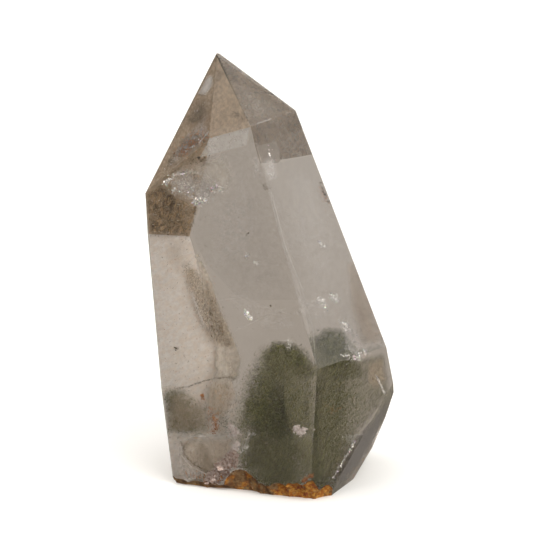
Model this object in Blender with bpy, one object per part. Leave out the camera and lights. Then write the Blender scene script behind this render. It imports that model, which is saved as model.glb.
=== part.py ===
"""Chlorite quartz point: a clear six-sided crystal on its broken foot, with a green chlorite phantom grown inside.

The crystal is laid out like a stone on a cutting chart. Each flat is a plane given by the way it faces
(azimuth: 0 is the front, 90 the right, 180 the back), by how far it leans up or down (slope) and by its
distance from the middle of the foot. What is left inside all the planes is the crystal.
"""
import math

import bmesh
import bpy
from mathutils import Vector

MM = 0.001

# Driving sizes in millimetres
HEIGHT = 89.9
SCALE = HEIGHT / 89.9
FOOT_LEVEL = 0.3
PHANTOM_TOP = 26.0
PHANTOM_GAP = 0.4
PHANTOM_RECESS = 0.4
BLANK_SIDE = 400.0

# Name, azimuth, slope in degrees, distance in millimetres
FLATS = (
    ("left_peak", -50.3, 28.0, 43.8),
    ("middle_peak", -35.9, 32.3, 46.9),
    ("right_peak", 32.3, 52.9, 64.6),
    ("back_left_peak", -133.5, 13.2, 33.3),
    ("back_peak", 173.7, 21.7, 40.8),
    ("back_right_peak", 110.0, 50.1, 65.7),
    ("blunt_tip", 20.0, 62.0, 74.1),
    ("broad_front", -25.0, 5.0, 13.0),
    ("right_front", 38.0, 19.3, 28.8),
    ("low_right_front", 39.5, 1.2, 21.0),
    ("left_side", -85.0, -4.0, 19.8),
    ("low_left_side", -82.0, -5.7, 19.1),
    ("back_left", -129.0, -12.8, 10.8),
    ("back", 168.0, 6.0, 23.1),
    ("right_side", 97.0, 20.1, 34.1),
    ("low_right_side", 97.0, 11.3, 30.7),
    ("right_bevel", 68.3, -21.1, 17.3),
    ("right_round_top", 100.0, -12.0, 22.8),
    ("right_round_middle", 98.0, -22.3, 19.3),
    ("right_round_foot", 100.0, -39.3, 14.2),
    ("foot", 180.0, -90.0, -FOOT_LEVEL),
    ("broken_back_foot", 157.9, -67.1, 3.2),
)

# Rings of the phantom from the foot up: height as a share of its top, middle x and y, half widths x and y
PHANTOM_RINGS = (
    (0.00, 6.0, -2.0, 7.2, 7.0),
    (0.20, 6.4, 1.0, 8.6, 7.8),
    (0.40, 6.9, 4.6, 9.2, 7.8),
    (0.60, 7.3, 8.0, 8.8, 7.3),
    (0.78, 7.6, 11.0, 7.4, 6.2),
    (0.91, 7.9, 13.0, 5.2, 4.4),
    (0.98, 8.0, 13.8, 2.6, 2.3),
)
PHANTOM_SIDES = 28

# Conchoidal chips round the foot: the way each one faces, its middle, and its half widths along, out and up
RIM_CHIPS = (
    (-60.0, (-19.8, -7.0, -1.3), (3.6, 3.2, 3.0)),
    (-25.0, (-7.2, -11.9, -0.4), (5.9, 3.6, 2.2)),
    (-25.0, (4.4, -17.2, -0.3), (2.6, 1.9, 1.3)),
    (-10.0, (9.0, -19.4, -0.4), (1.7, 2.0, 1.7)),
    (40.0, (15.0, -17.0, -0.2), (2.0, 2.2, 1.8)),
    (-129.0, (-12.6, 5.4, 1.6), (8.2, 4.2, 7.6)),
    (100.0, (21.4, 4.6, 0.4), (3.8, 2.6, 2.9)),
)

# Flat, spot on the flat as x and y, half width, depth of each shallow scallop on the broken foot
SCALLOPS = (
    ("broken_back_foot", -1.5, 16.5, 6.5, 1.0),
    ("broken_back_foot", 6.5, 18.0, 5.6, 1.2),
    ("broken_back_foot", 14.5, 15.0, 5.4, 1.1),
)

# The bevel edge at the lower right carries a row of small nicks
BEVEL_EDGE_TOP = (25.6, -5.6, 19.2)
BEVEL_EDGE_FOOT = (14.6, -15.5, 1.6)
NICK_SHARES = (0.36, 0.52, 0.63, 0.78)
NICK_SIZE = 0.75


def facing(azimuth, slope):
    """Unit vector pointing out of a flat."""
    turn = math.radians(azimuth)
    lean = math.radians(slope)
    level = math.cos(lean)
    return Vector((level * math.sin(turn), -level * math.cos(turn), math.sin(lean)))


def flat_named(name):
    """Outward direction and distance in metres of one flat."""
    for key, azimuth, slope, distance in FLATS:
        if key == name:
            return facing(azimuth, slope), distance * SCALE * MM
    raise ValueError(name)


def scene_object(bm, name):
    """Give the working mesh a name and a place in the scene."""
    bmesh.ops.recalc_face_normals(bm, faces=bm.faces[:])
    mesh = bpy.data.meshes.new(name)
    bm.to_mesh(mesh)
    bm.free()
    item = bpy.data.objects.new(name, mesh)
    bpy.context.scene.collection.objects.link(item)
    return item


def cut_blank():
    """Cut a large block back to the flats of the crystal."""
    bm = bmesh.new()
    bmesh.ops.create_cube(bm, size=BLANK_SIDE * MM)
    for name, azimuth, slope, distance in FLATS:
        out = facing(azimuth, slope)
        bmesh.ops.bisect_plane(
            bm,
            geom=bm.verts[:] + bm.edges[:] + bm.faces[:],
            dist=1e-7,
            plane_co=out * (distance * SCALE * MM),
            plane_no=out,
            clear_outer=True,
        )
        rim = [edge for edge in bm.edges if edge.is_boundary]
        if rim:
            bmesh.ops.holes_fill(bm, edges=rim, sides=0)
    bmesh.ops.remove_doubles(bm, verts=bm.verts[:], dist=1e-6)
    return scene_object(bm, "quartz_crystal")


def pebble(name, azimuth, middle, half_widths, fineness, phase):
    """Closed bumpy pebble used to break a chip out of the crystal; it is turned to face an azimuth."""
    turn = math.radians(azimuth)
    along = Vector((math.cos(turn), math.sin(turn), 0.0))
    out = Vector((math.sin(turn), -math.cos(turn), 0.0))
    up = Vector((0.0, 0.0, 1.0))
    bm = bmesh.new()
    bmesh.ops.create_icosphere(bm, subdivisions=fineness, radius=1.0)
    for vert in bm.verts:
        direction = vert.co.normalized()
        bump = 1.0
        bump += 0.05 * math.sin(3.1 * direction.x + 2.3 * direction.y + phase)
        bump += 0.04 * math.sin(4.7 * direction.z - 2.9 * direction.x + 1.7 * phase)
        reach = along * (direction.x * half_widths[0])
        reach = reach + out * (direction.y * half_widths[1])
        reach = reach + up * (direction.z * half_widths[2])
        vert.co = (Vector(middle) + reach * bump) * (SCALE * MM)
    return scene_object(bm, name)


def take_away(target, tool):
    """Cut the tool out of the target and delete the tool."""
    cut = target.modifiers.new("cut", "BOOLEAN")
    cut.operation = "DIFFERENCE"
    cut.solver = "EXACT"
    cut.object = tool
    bpy.context.view_layer.update()
    graph = bpy.context.evaluated_depsgraph_get()
    mesh = bpy.data.meshes.new_from_object(target.evaluated_get(graph))
    target.modifiers.remove(cut)
    target.data = mesh
    bpy.data.objects.remove(tool, do_unlink=True)


def break_rim(crystal):
    """Chips round the foot."""
    for index, (azimuth, middle, half_widths) in enumerate(RIM_CHIPS):
        take_away(crystal, pebble("chip", azimuth, middle, half_widths, 3, 0.8 * index))


def break_foot(crystal):
    """Shallow scallops over the broken back of the foot."""
    for index, (name, x, y, half_width, depth) in enumerate(SCALLOPS):
        out, distance = flat_named(name)
        # height of the flat over this spot
        z = (distance / (SCALE * MM) - out.x * x - out.y * y) / out.z
        radius = (half_width ** 2 + depth ** 2) / (2.0 * depth)
        radius = min(radius, half_width * 1.35)
        middle = Vector((x, y, z)) + out * (radius - depth)
        take_away(crystal, pebble("scallop", 0.0, middle, (radius,) * 3, 3, 1.1 * index))


def nick_bevel(crystal):
    """Row of small nicks on the edge above the lower right bevel."""
    top = Vector(BEVEL_EDGE_TOP)
    low = Vector(BEVEL_EDGE_FOOT)
    for index, share in enumerate(NICK_SHARES):
        spot = top.lerp(low, share) + facing(54.0, -10.0) * 0.35
        size = NICK_SIZE * (1.0 + 0.25 * math.sin(2.4 * index))
        take_away(crystal, pebble("nick", 0.0, spot, (size, size, size * 1.8), 2, 0.9 * index))


def phantom_body(name, gap, floor):
    """Lobed dome of the phantom, grown outward by a gap and started at a floor height."""
    bm = bmesh.new()
    rings = []
    low = PHANTOM_RECESS + FOOT_LEVEL
    rows = []
    if floor < low:
        share, x, y, wide, deep = PHANTOM_RINGS[0]
        rows.append((floor, x, y - 0.3, wide, deep))
    for share, x, y, wide, deep in PHANTOM_RINGS:
        rows.append((low + share * (PHANTOM_TOP - low), x, y, wide, deep))
    for z, x, y, wide, deep in rows:
        ring = []
        for step in range(PHANTOM_SIDES):
            angle = 2.0 * math.pi * step / PHANTOM_SIDES
            lobe = 1.0
            lobe += 0.055 * math.sin(3.0 * angle + 0.10 * z)
            lobe += 0.035 * math.sin(5.0 * angle - 0.22 * z + 1.0)
            ring.append(bm.verts.new((
                (x + (wide * lobe + gap) * math.cos(angle)) * SCALE * MM,
                (y + (deep * lobe + gap) * math.sin(angle)) * SCALE * MM,
                (z + (gap if z > low + 1.0 else 0.0)) * SCALE * MM,
            )))
        rings.append(ring)
    for lower, upper in zip(rings, rings[1:]):
        for step in range(PHANTOM_SIDES):
            after = (step + 1) % PHANTOM_SIDES
            bm.faces.new((lower[step], lower[after], upper[after], upper[step]))
    crown = bm.verts.new((
        PHANTOM_RINGS[-1][1] * SCALE * MM,
        PHANTOM_RINGS[-1][2] * SCALE * MM,
        (PHANTOM_TOP + 0.3 + gap) * SCALE * MM,
    ))
    for step in range(PHANTOM_SIDES):
        bm.faces.new((rings[-1][step], rings[-1][(step + 1) % PHANTOM_SIDES], crown))
    bm.faces.new(list(reversed(rings[0])))
    return scene_object(bm, name)


def plain_material(name, colour, roughness, transmission):
    """Simple material for one piece."""
    material = bpy.data.materials.new(name)
    material.use_nodes = True
    shader = material.node_tree.nodes["Principled BSDF"]
    shader.inputs["Base Color"].default_value = colour
    shader.inputs["Roughness"].default_value = roughness
    shader.inputs["Transmission Weight"].default_value = transmission
    shader.inputs["IOR"].default_value = 1.544
    return material


def settle(pieces):
    """Move the pieces so that the foot stands at zero height under the middle of the bounding box."""
    points = [vert.co for piece in pieces for vert in piece.data.vertices]
    low = [min(point[axis] for point in points) for axis in range(3)]
    high = [max(point[axis] for point in points) for axis in range(3)]
    shift = Vector((-(low[0] + high[0]) / 2.0, -(low[1] + high[1]) / 2.0, -low[2]))
    for piece in pieces:
        for vert in piece.data.vertices:
            vert.co = vert.co + shift


def main():
    for item in list(bpy.data.objects):
        bpy.data.objects.remove(item, do_unlink=True)
    crystal = cut_blank()
    break_rim(crystal)
    break_foot(crystal)
    nick_bevel(crystal)
    take_away(crystal, phantom_body("pocket", PHANTOM_GAP, FOOT_LEVEL - 2.0))
    phantom = phantom_body("chlorite_phantom", 0.0, FOOT_LEVEL + PHANTOM_RECESS)
    crystal.data.materials.clear()
    crystal.data.materials.append(plain_material("smoky_clear_quartz", (0.86, 0.82, 0.76, 1.0), 0.06, 1.0))
    phantom.data.materials.append(plain_material("green_chlorite", (0.17, 0.19, 0.10, 1.0), 0.8, 0.0))
    settle([crystal, phantom])


main()
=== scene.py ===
"""Looks of a chlorite quartz point: the clear stone, what grew inside it, its stained foot and the stage.

Laid out as an add-on with one operator for each kind of piece. The stone is cut from the same flats as its
solid, and lengths are in millimetres until a mesh is made. What lies inside the stone is placed by a pixel of
the photo, the flat that it is seen through and its depth behind that flat, with the bend of the light at the
flat worked out.
"""
import itertools
import math

import bmesh
import bpy
import numpy as np
from mathutils import Matrix, Vector
from mathutils.geometry import delaunay_2d_cdt


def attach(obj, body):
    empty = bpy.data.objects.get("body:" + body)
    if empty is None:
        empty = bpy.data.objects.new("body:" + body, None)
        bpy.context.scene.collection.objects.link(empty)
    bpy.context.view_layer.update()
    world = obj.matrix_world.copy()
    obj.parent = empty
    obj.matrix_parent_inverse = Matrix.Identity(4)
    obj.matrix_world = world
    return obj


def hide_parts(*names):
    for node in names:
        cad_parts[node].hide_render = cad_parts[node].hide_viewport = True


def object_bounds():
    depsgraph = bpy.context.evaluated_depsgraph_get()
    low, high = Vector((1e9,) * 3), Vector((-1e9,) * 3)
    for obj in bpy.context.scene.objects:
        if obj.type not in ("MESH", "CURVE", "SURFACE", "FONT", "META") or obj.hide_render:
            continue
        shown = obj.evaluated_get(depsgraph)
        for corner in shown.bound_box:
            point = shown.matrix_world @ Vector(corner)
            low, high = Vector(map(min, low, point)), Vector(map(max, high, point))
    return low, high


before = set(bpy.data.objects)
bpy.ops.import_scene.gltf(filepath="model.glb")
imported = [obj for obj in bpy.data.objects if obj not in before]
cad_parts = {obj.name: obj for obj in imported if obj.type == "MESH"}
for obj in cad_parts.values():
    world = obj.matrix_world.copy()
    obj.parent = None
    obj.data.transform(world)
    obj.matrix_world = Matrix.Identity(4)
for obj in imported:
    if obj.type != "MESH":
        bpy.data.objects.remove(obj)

bl_info = {
    "name": "Chlorite quartz point",
    "version": (1, 0, 0),
    "blender": (4, 5, 0),
    "location": "3D View > Sidebar > Quartz",
    "description": "Makes a clear quartz point with a green chlorite phantom, on a plain stage",
    "category": "Add Mesh",
}

MM = 0.001
STONE = "quartz_crystal"
PHANTOM = "chlorite_phantom"
CAD_LOW, CAD_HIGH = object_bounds()
PICTURE_SIDE = 533.0
QUARTZ_IOR = 1.544

# Name, azimuth (0 is the front, 90 the right, 180 the back), slope in degrees, distance in millimetres
FLATS = (
    ("left_peak", -50.3, 28.0, 43.8),
    ("middle_peak", -35.9, 32.3, 46.9),
    ("right_peak", 32.3, 52.9, 64.6),
    ("back_left_peak", -133.5, 13.2, 33.3),
    ("back_peak", 173.7, 21.7, 40.8),
    ("back_right_peak", 110.0, 50.1, 65.7),
    ("blunt_tip", 20.0, 62.0, 74.1),
    ("broad_front", -25.0, 5.0, 13.0),
    ("right_front", 38.0, 19.3, 28.8),
    ("low_right_front", 39.5, 1.2, 21.0),
    ("left_side", -85.0, -4.0, 19.8),
    ("low_left_side", -82.0, -5.7, 19.1),
    ("back_left", -129.0, -12.8, 10.8),
    ("back", 168.0, 6.0, 23.1),
    ("right_side", 97.0, 20.1, 34.1),
    ("low_right_side", 97.0, 11.3, 30.7),
    ("right_bevel", 68.3, -21.1, 17.3),
    ("right_round_top", 100.0, -12.0, 22.8),
    ("right_round_middle", 98.0, -22.3, 19.3),
    ("right_round_foot", 100.0, -39.3, 14.2),
    ("foot", 180.0, -90.0, -0.3),
    ("broken_back_foot", 157.9, -67.1, 3.2),
)
BLANK_SIDE = 400.0
CUT_WIDTH = 1e-4
WELD_WIDTH = 1e-3

# How near a face's middle and direction are to a flat's, for the face to take the flat's finish
ON_FLAT = 0.01
ALONG_FLAT = 0.9995

# Faces under a skin of fine dust: its two colours, its least and greatest cover, the size of its patches in
# millimetres, the azimuth of the face and how many times wider than high the patches are
DUSTED = {
    "frosted_quartz": ((0.93, 0.855, 0.785), (0.99, 0.955, 0.92), (0.86, 0.99), 0.6, -129.0, 2.7),
    "stained_quartz": ((0.57, 0.440, 0.305), (0.70, 0.565, 0.410), (0.68, 0.95), 0.6, -133.5, 1.8),
    # on the worn edges the pale dust is partly real wear and partly painted highlight lines along the edges
    "worn_edges": ((0.75, 0.72, 0.68), (0.92, 0.90, 0.87), (0.05, 0.75), 0.9, 0.0, 1.0),
}

# Finishes of the stone in the order of its materials, and the flats that aren't polished clear
POLISHED, BROKEN, CRUSTED, FROSTED, STAINED, WORN_AND_HIGHLIT = range(6)
FINISH_OF_FLAT = {
    "back_left": FROSTED,
    "back_left_peak": STAINED,
    "foot": BROKEN,
    "broken_back_foot": BROKEN,
}

# Chips broken out of the stained front rim: the way each one faces, its middle, and its half widths along,
# out and up
STAINED_CHIPS = (
    (-60.0, (-18.6, -6.6, -0.9), (2.6, 1.9, 2.6)),
    (-25.0, (-14.4, -7.9, -0.9), (3.9, 1.8, 2.6)),
    (-25.0, (-10.6, -9.5, -0.9), (2.6, 1.7, 2.4)),
    (-25.0, (-4.4, -12.2, -1.0), (4.8, 2.6, 6.2)),
    (-25.0, (-0.2, -14.4, -0.9), (3.2, 2.0, 3.6)),
    (-25.0, (3.6, -16.0, -0.8), (3.6, 2.2, 4.2)),
    (-25.0, (7.4, -17.6, -0.9), (3.6, 2.4, 5.0)),
    (-25.0, (9.4, -18.2, -0.9), (2.2, 2.2, 4.6)),
    (-10.0, (10.6, -18.9, -0.8), (2.8, 2.5, 6.0)),
    (30.0, (12.2, -18.0, -0.9), (2.0, 1.9, 3.6)),
    (40.0, (13.4, -16.6, -0.8), (3.2, 2.0, 3.8)),
    (-40.0, (-17.6, -6.5, -0.7), (3.4, 1.6, 2.4)),
)

# Chips round the foot: the way each one faces, its middle, and its half widths along, out and up
RIM_CHIPS = (
    (-60.0, (-19.8, -7.0, -1.3), (3.6, 3.2, 3.0)),
    (-25.0, (-7.2, -11.9, -0.4), (5.9, 3.6, 2.2)),
    (-25.0, (4.4, -17.2, -0.3), (2.6, 1.9, 1.3)),
    (-10.0, (9.0, -19.4, -0.4), (1.7, 2.0, 1.7)),
    (40.0, (15.0, -17.0, -0.2), (2.0, 2.2, 1.8)),
    (-129.0, (-12.6, 5.4, 1.6), (8.2, 4.2, 7.6)),
    (100.0, (21.4, 4.6, 0.4), (3.8, 2.6, 2.9)),
)

# Least sum of squared shares of a chip's half widths at which a point counts as clear of the chip
CHIP_REACH = 1.2

# Smaller bites along the edge of each chip: how many, how far along and up its edge, how far out, least and
# greatest size, and half widths along and out as shares of the size
BITES = 3
BITE_SPAN = 0.8
BITE_RISE = 0.9
BITE_OUT = 0.25
BITE_SIZES = (0.5, 1.0)
BITE_WIDTHS = (1.4, 0.8)

# Spot as x and y, half width and depth of each shallow scallop on the broken back of the foot
SCALLOPS = (
    (-1.5, 16.5, 6.5, 1.0),
    (6.5, 18.0, 5.6, 1.2),
    (14.5, 15.0, 5.4, 1.1),
)
SCALLOP_ROUNDNESS = 1.35

# Rings of the phantom from the foot up: height as a share of its top, middle x and y, half widths x and y
PHANTOM_RINGS = (
    (0.00, 6.0, -2.0, 7.2, 7.0),
    (0.20, 6.4, 1.0, 8.6, 7.8),
    (0.40, 6.9, 4.6, 9.2, 7.8),
    (0.60, 7.3, 8.0, 8.8, 7.3),
    (0.78, 7.6, 11.0, 7.4, 6.2),
    (0.91, 7.9, 13.0, 5.2, 4.4),
    (0.98, 8.0, 13.8, 2.6, 2.3),
)
PHANTOM_FOOT = 0.7
PHANTOM_TOP = 26.0
PHANTOM_PIECES = 3

# Box that the phantom's grains are drawn in, how many are drawn at a time, and the way its streaks run, from
# the dome down to the front of the foot
DUST_BOX = ((-6.0, -20.0, 0.6), (24.0, 22.0, 28.0))
DRAWN_AT_ONCE = 100000
STREAK_WAY = (0.15, -0.72, -0.68)

# Fine grains: four corners of each, how flat it is, and the margins in millimetres that the phantom's grains
# and the flaws' grains keep from the flats and from the chips
TETRAHEDRON = ((1.0, 1.0, 1.0), (1.0, -1.0, -1.0), (-1.0, 1.0, -1.0), (-1.0, -1.0, 1.0))
GRAIN_FLATNESS = 0.45
DUST_MARGINS = (0.4, 0.3)
FLAW_MARGINS = (0.2, 0.2)

# Numbers that scramble a cell's place into a value from 0 to 1
SCRAMBLE_WAY = (127.1, 311.7, 74.7)
SCRAMBLE_GAIN = 43758.5453

# Cracks: corners round each, and its crown as a share of its width
CRACK_CORNERS = 6
CRACK_CROWN = 0.06

# Strands: the angles of their three corners, and the margins they keep from the flats and from the chips
STRAND_CORNERS = (0.0, 2.094, 4.189)
STRAND_MARGINS = (0.15, 0.2)

# Flats that what lies inside the stone is seen through
BROAD = "broad_front"
RIGHT = "right_front"
LOW_RIGHT = "low_right_front"
BEVEL = "right_bevel"
LEFT_PEAK = "left_peak"
MIDDLE_PEAK = "middle_peak"
RIGHT_PEAK = "right_peak"

# Least and greatest share of the way through the stone that anything lies at
SHARE_RANGE = (0.012, 0.985)

# Grains and flakes grown in the stone, by piece, and pale lines along some edges that are painted
# highlights. For each row: the flat it is seen through, its share of the way to the far side, its width in
# pixels, its spread in depth as a share, the number of grains, their size in millimetres and the pixels it
# runs along
FLAWS = {
    "brown_specks": (
        (BROAD, 0.93, 11.0, 0.04, 1500, 0.19, ((158, 208), (180, 222))),
        (BROAD, 0.95, 5.0, 0.03, 900, 0.15, ((150, 226), (188, 230))),
        (BROAD, 0.9, 5.5, 0.03, 520, 0.2, ((186, 268), (199, 292), (210, 322), (220, 344))),
        (BROAD, 0.88, 3.5, 0.03, 260, 0.2, ((207, 300), (222, 334))),
        (BROAD, 0.03, 3.4, 0.01, 150, 0.24, ((188, 159), (198, 161), (208, 157))),
        (RIGHT, 0.1, 1.4, 0.03, 110, 0.28, ((320, 184), (325, 194), (329, 203))),
        (RIGHT, 0.1, 0.9, 0.02, 30, 0.22, ((357, 277), (359, 279))),
        (RIGHT, 0.25, 3.2, 0.06, 260, 0.17, ((357, 305), (366, 312), (371, 319))),
        (RIGHT, 0.55, 2.2, 0.05, 420, 0.13, ((356, 268), (360, 300), (365, 329))),
        (BROAD, 0.03, 0.8, 0.01, 20, 0.4, ((175, 347), (177, 349))),
        (BROAD, 0.3, 0.8, 0.01, 30, 0.36, ((209, 310), (211, 315))),
        (RIGHT, 0.05, 2.4, 0.01, 110, 0.18, ((266, 183), (269, 191))),
        (MIDDLE_PEAK, 0.015, 2.4, 0.002, 200, 0.16, ((233, 113), (240, 115), (246, 121))),
        (BROAD, 0.3, 0.4, 0.01, 9, 0.24, ((271, 305), (271, 307))),
        (BROAD, 0.3, 0.4, 0.01, 18, 0.3, ((246, 236), (249, 232))),
        (BROAD, 0.55, 0.7, 0.01, 560, 0.17, ((175, 389), (190, 386), (205, 380.5), (219, 378),
         (232, 377))),
        (BROAD, 0.05, 0.8, 0.004, 420, 0.15, ((180, 441), (184, 447), (184, 454), (193, 464), (207, 471))),
        (BROAD, 0.03, 2.6, 0.003, 180, 0.34, ((233, 457), (224, 468), (214, 482))),
    ),
    "rust_specks": (
        (BROAD, 0.2, 1.1, 0.02, 60, 0.34, ((202, 395), (203, 399))),
        (BROAD, 0.25, 1.8, 0.03, 170, 0.32, ((213, 416), (216, 424), (214, 432))),
        (BROAD, 0.03, 1.8, 0.004, 420, 0.42, ((304, 481), (309, 479), (314, 476))),
        (BEVEL, 0.04, 1.0, 0.004, 40, 0.3, ((362, 458), (366, 466))),
        (RIGHT, 0.1, 1.2, 0.02, 40, 0.2, ((321, 188), (326, 199))),
        (LEFT_PEAK, 0.035, 2.2, 0.004, 110, 0.34, ((178, 156), (190, 145), (200, 142), (206, 137))),
        (BROAD, 0.03, 2.2, 0.003, 120, 0.4, ((231, 459), (225, 470), (219, 481))),
    ),
    "chlorite_wisp": (
        (BROAD, 0.8, 8.0, 0.06, 5000, 0.14, ((168, 395), (176, 406), (190, 420), (198, 430))),
        (BROAD, 0.75, 5.0, 0.06, 1800, 0.13, ((212, 404), (224, 420), (232, 436))),
    ),
    "pale_dust": (
        # painted highlights: pale lines along the edges round the right peak
        (RIGHT_PEAK, 0.014, 0.4, 0.001, 260, 0.12, ((251.5, 125.6), (258, 123), (271, 118.8))),
        (RIGHT_PEAK, 0.014, 0.4, 0.001, 200, 0.11, ((226, 73), (238, 98), (249, 121))),
        (BROAD, 0.45, 1.2, 0.02, 1200, 0.09, ((219, 300), (243, 297), (262, 306), (290, 314))),
        (BROAD, 0.5, 1.0, 0.02, 700, 0.09, ((236, 330), (262, 318), (285, 309))),
        (RIGHT, 0.22, 2.2, 0.02, 700, 0.15, ((319, 301), (322, 303))),
        (RIGHT, 0.22, 2.0, 0.02, 520, 0.15, ((333, 297), (337, 300))),
        (RIGHT, 0.35, 2.4, 0.02, 560, 0.15, ((343, 322), (347, 328))),
        (RIGHT, 0.3, 2.6, 0.03, 760, 0.15, ((347, 346), (356, 352))),
        (BROAD, 0.84, 0.9, 0.01, 900, 0.18, ((192, 293), (197, 308), (205, 327))),
        (RIGHT, 0.35, 1.8, 0.02, 320, 0.15, ((322, 304), (325, 306))),
        # painted highlight: a pale line along the edge between the broad front and the right front
        (RIGHT, 0.03, 0.35, 0.004, 700, 0.1, ((271, 191), (285, 246), (302, 288))),
        (RIGHT, 0.03, 0.5, 0.004, 300, 0.09, ((302, 288), (313, 330), (316, 366))),
        # painted highlight: a light streak on the low right front
        (LOW_RIGHT, 0.03, 0.5, 0.004, 420, 0.13, ((375, 374), (380, 383), (385, 394))),
        (BROAD, 0.2, 1.8, 0.02, 200, 0.13, ((289, 340), (291, 345), (288, 350))),
        (BROAD, 0.5, 0.8, 0.01, 220, 0.12, ((153, 280), (160, 283), (166, 279))),
        (BROAD, 0.3, 1.2, 0.02, 160, 0.12, ((247, 254), (248, 255))),
        (BROAD, 0.3, 1.2, 0.02, 160, 0.12, ((254, 262), (258, 264))),
        # painted highlight: a pale line along the edge between the left peak and the broad front
        (LEFT_PEAK, 0.03, 0.5, 0.004, 320, 0.13, ((199, 143), (208.5, 131.5))),
        (BROAD, 0.33, 4.5, 0.03, 1500, 0.13, ((172, 182), (190, 186), (206, 196))),
        (BROAD, 0.05, 0.4, 0.004, 520, 0.13, ((168, 428), (182, 436.5), (208, 436), (236, 435.5))),
        (BROAD, 0.04, 0.5, 0.004, 620, 0.14, ((177, 441), (181.5, 447), (181, 455), (190, 466),
         (206, 474))),
    ),
    "glints": (
        (RIGHT, 0.15, 2.2, 0.01, 220, 0.26, ((318, 300), (322, 303), (325, 306))),
        (RIGHT, 0.15, 2.0, 0.01, 170, 0.26, ((332, 296), (337, 300))),
        (RIGHT, 0.15, 1.9, 0.01, 120, 0.24, ((343, 322), (347, 328))),
        (RIGHT, 0.15, 2.2, 0.02, 130, 0.24, ((344, 355), (352, 357), (367, 350))),
        (BROAD, 0.2, 1.8, 0.02, 30, 0.2, ((288, 340), (290, 348))),
        (BROAD, 0.3, 1.0, 0.02, 14, 0.22, ((254, 262), (258, 264))),
        (BROAD, 0.3, 1.7, 0.04, 190, 0.38, ((165, 183), (175, 175), (190, 171), (202, 173))),
        (BROAD, 0.3, 5.0, 0.04, 520, 0.15, ((176, 180), (190, 187), (204, 199))),
        (BROAD, 0.35, 3.4, 0.05, 130, 0.3, ((168, 190), (186, 190), (204, 197))),
        (BROAD, 0.3, 2.2, 0.02, 110, 0.6, ((210, 190), (216, 186), (222, 190))),
        (BROAD, 0.3, 2.0, 0.02, 150, 0.65, ((195, 202), (201, 201), (206, 199))),
        (LEFT_PEAK, 0.035, 1.0, 0.004, 70, 0.3, ((184, 152), (196, 144), (206, 135))),
        (LEFT_PEAK, 0.035, 1.6, 0.004, 26, 0.3, ((186, 118), (206, 104))),
        (LEFT_PEAK, 0.035, 4.0, 0.004, 40, 0.26, ((160, 170), (178, 148))),
        (RIGHT, 0.014, 0.8, 0.001, 30, 0.32, ((268.5, 152), (270, 157))),
        (RIGHT, 0.014, 2.6, 0.001, 36, 0.18, ((266, 141), (273, 162), (264, 168), (268, 176))),
        (RIGHT, 0.25, 1.1, 0.02, 60, 0.5, ((319, 241), (322, 246))),
        (BROAD, 0.4, 1.3, 0.02, 70, 0.46, ((245, 313), (251, 319))),
        (BROAD, 0.4, 0.8, 0.02, 10, 0.4, ((246, 253), (247, 257))),
        (LOW_RIGHT, 0.02, 0.8, 0.01, 150, 0.26, ((355, 441), (345, 458), (333, 478))),
        (LOW_RIGHT, 0.02, 0.8, 0.01, 50, 0.3, ((377, 377), (384, 392))),
    ),
    "white_fractures": (
        (BROAD, 0.08, 1.5, 0.006, 420, 0.5, ((295, 427), (300, 433), (304, 430))),
        (BROAD, 0.06, 1.8, 0.01, 170, 0.6, ((230, 427), (236, 434))),
        (BROAD, 0.06, 1.6, 0.01, 190, 0.6, ((238, 443), (231, 454))),
    ),
    "pink_crust": (
        (BROAD, 0.04, 2.8, 0.01, 1000, 1.0, ((235, 454), (228, 463), (218, 473), (209, 484))),
        (BROAD, 0.04, 2.6, 0.015, 500, 0.7, ((224, 474), (232, 480), (240, 486))),
    ),
}
# Cracked pieces, and the way their cracks face, on average
CRACKED = ("glints", "white_fractures", "pink_crust")
GLINT_FACING = (0.07, -0.96, 0.26)
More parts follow.
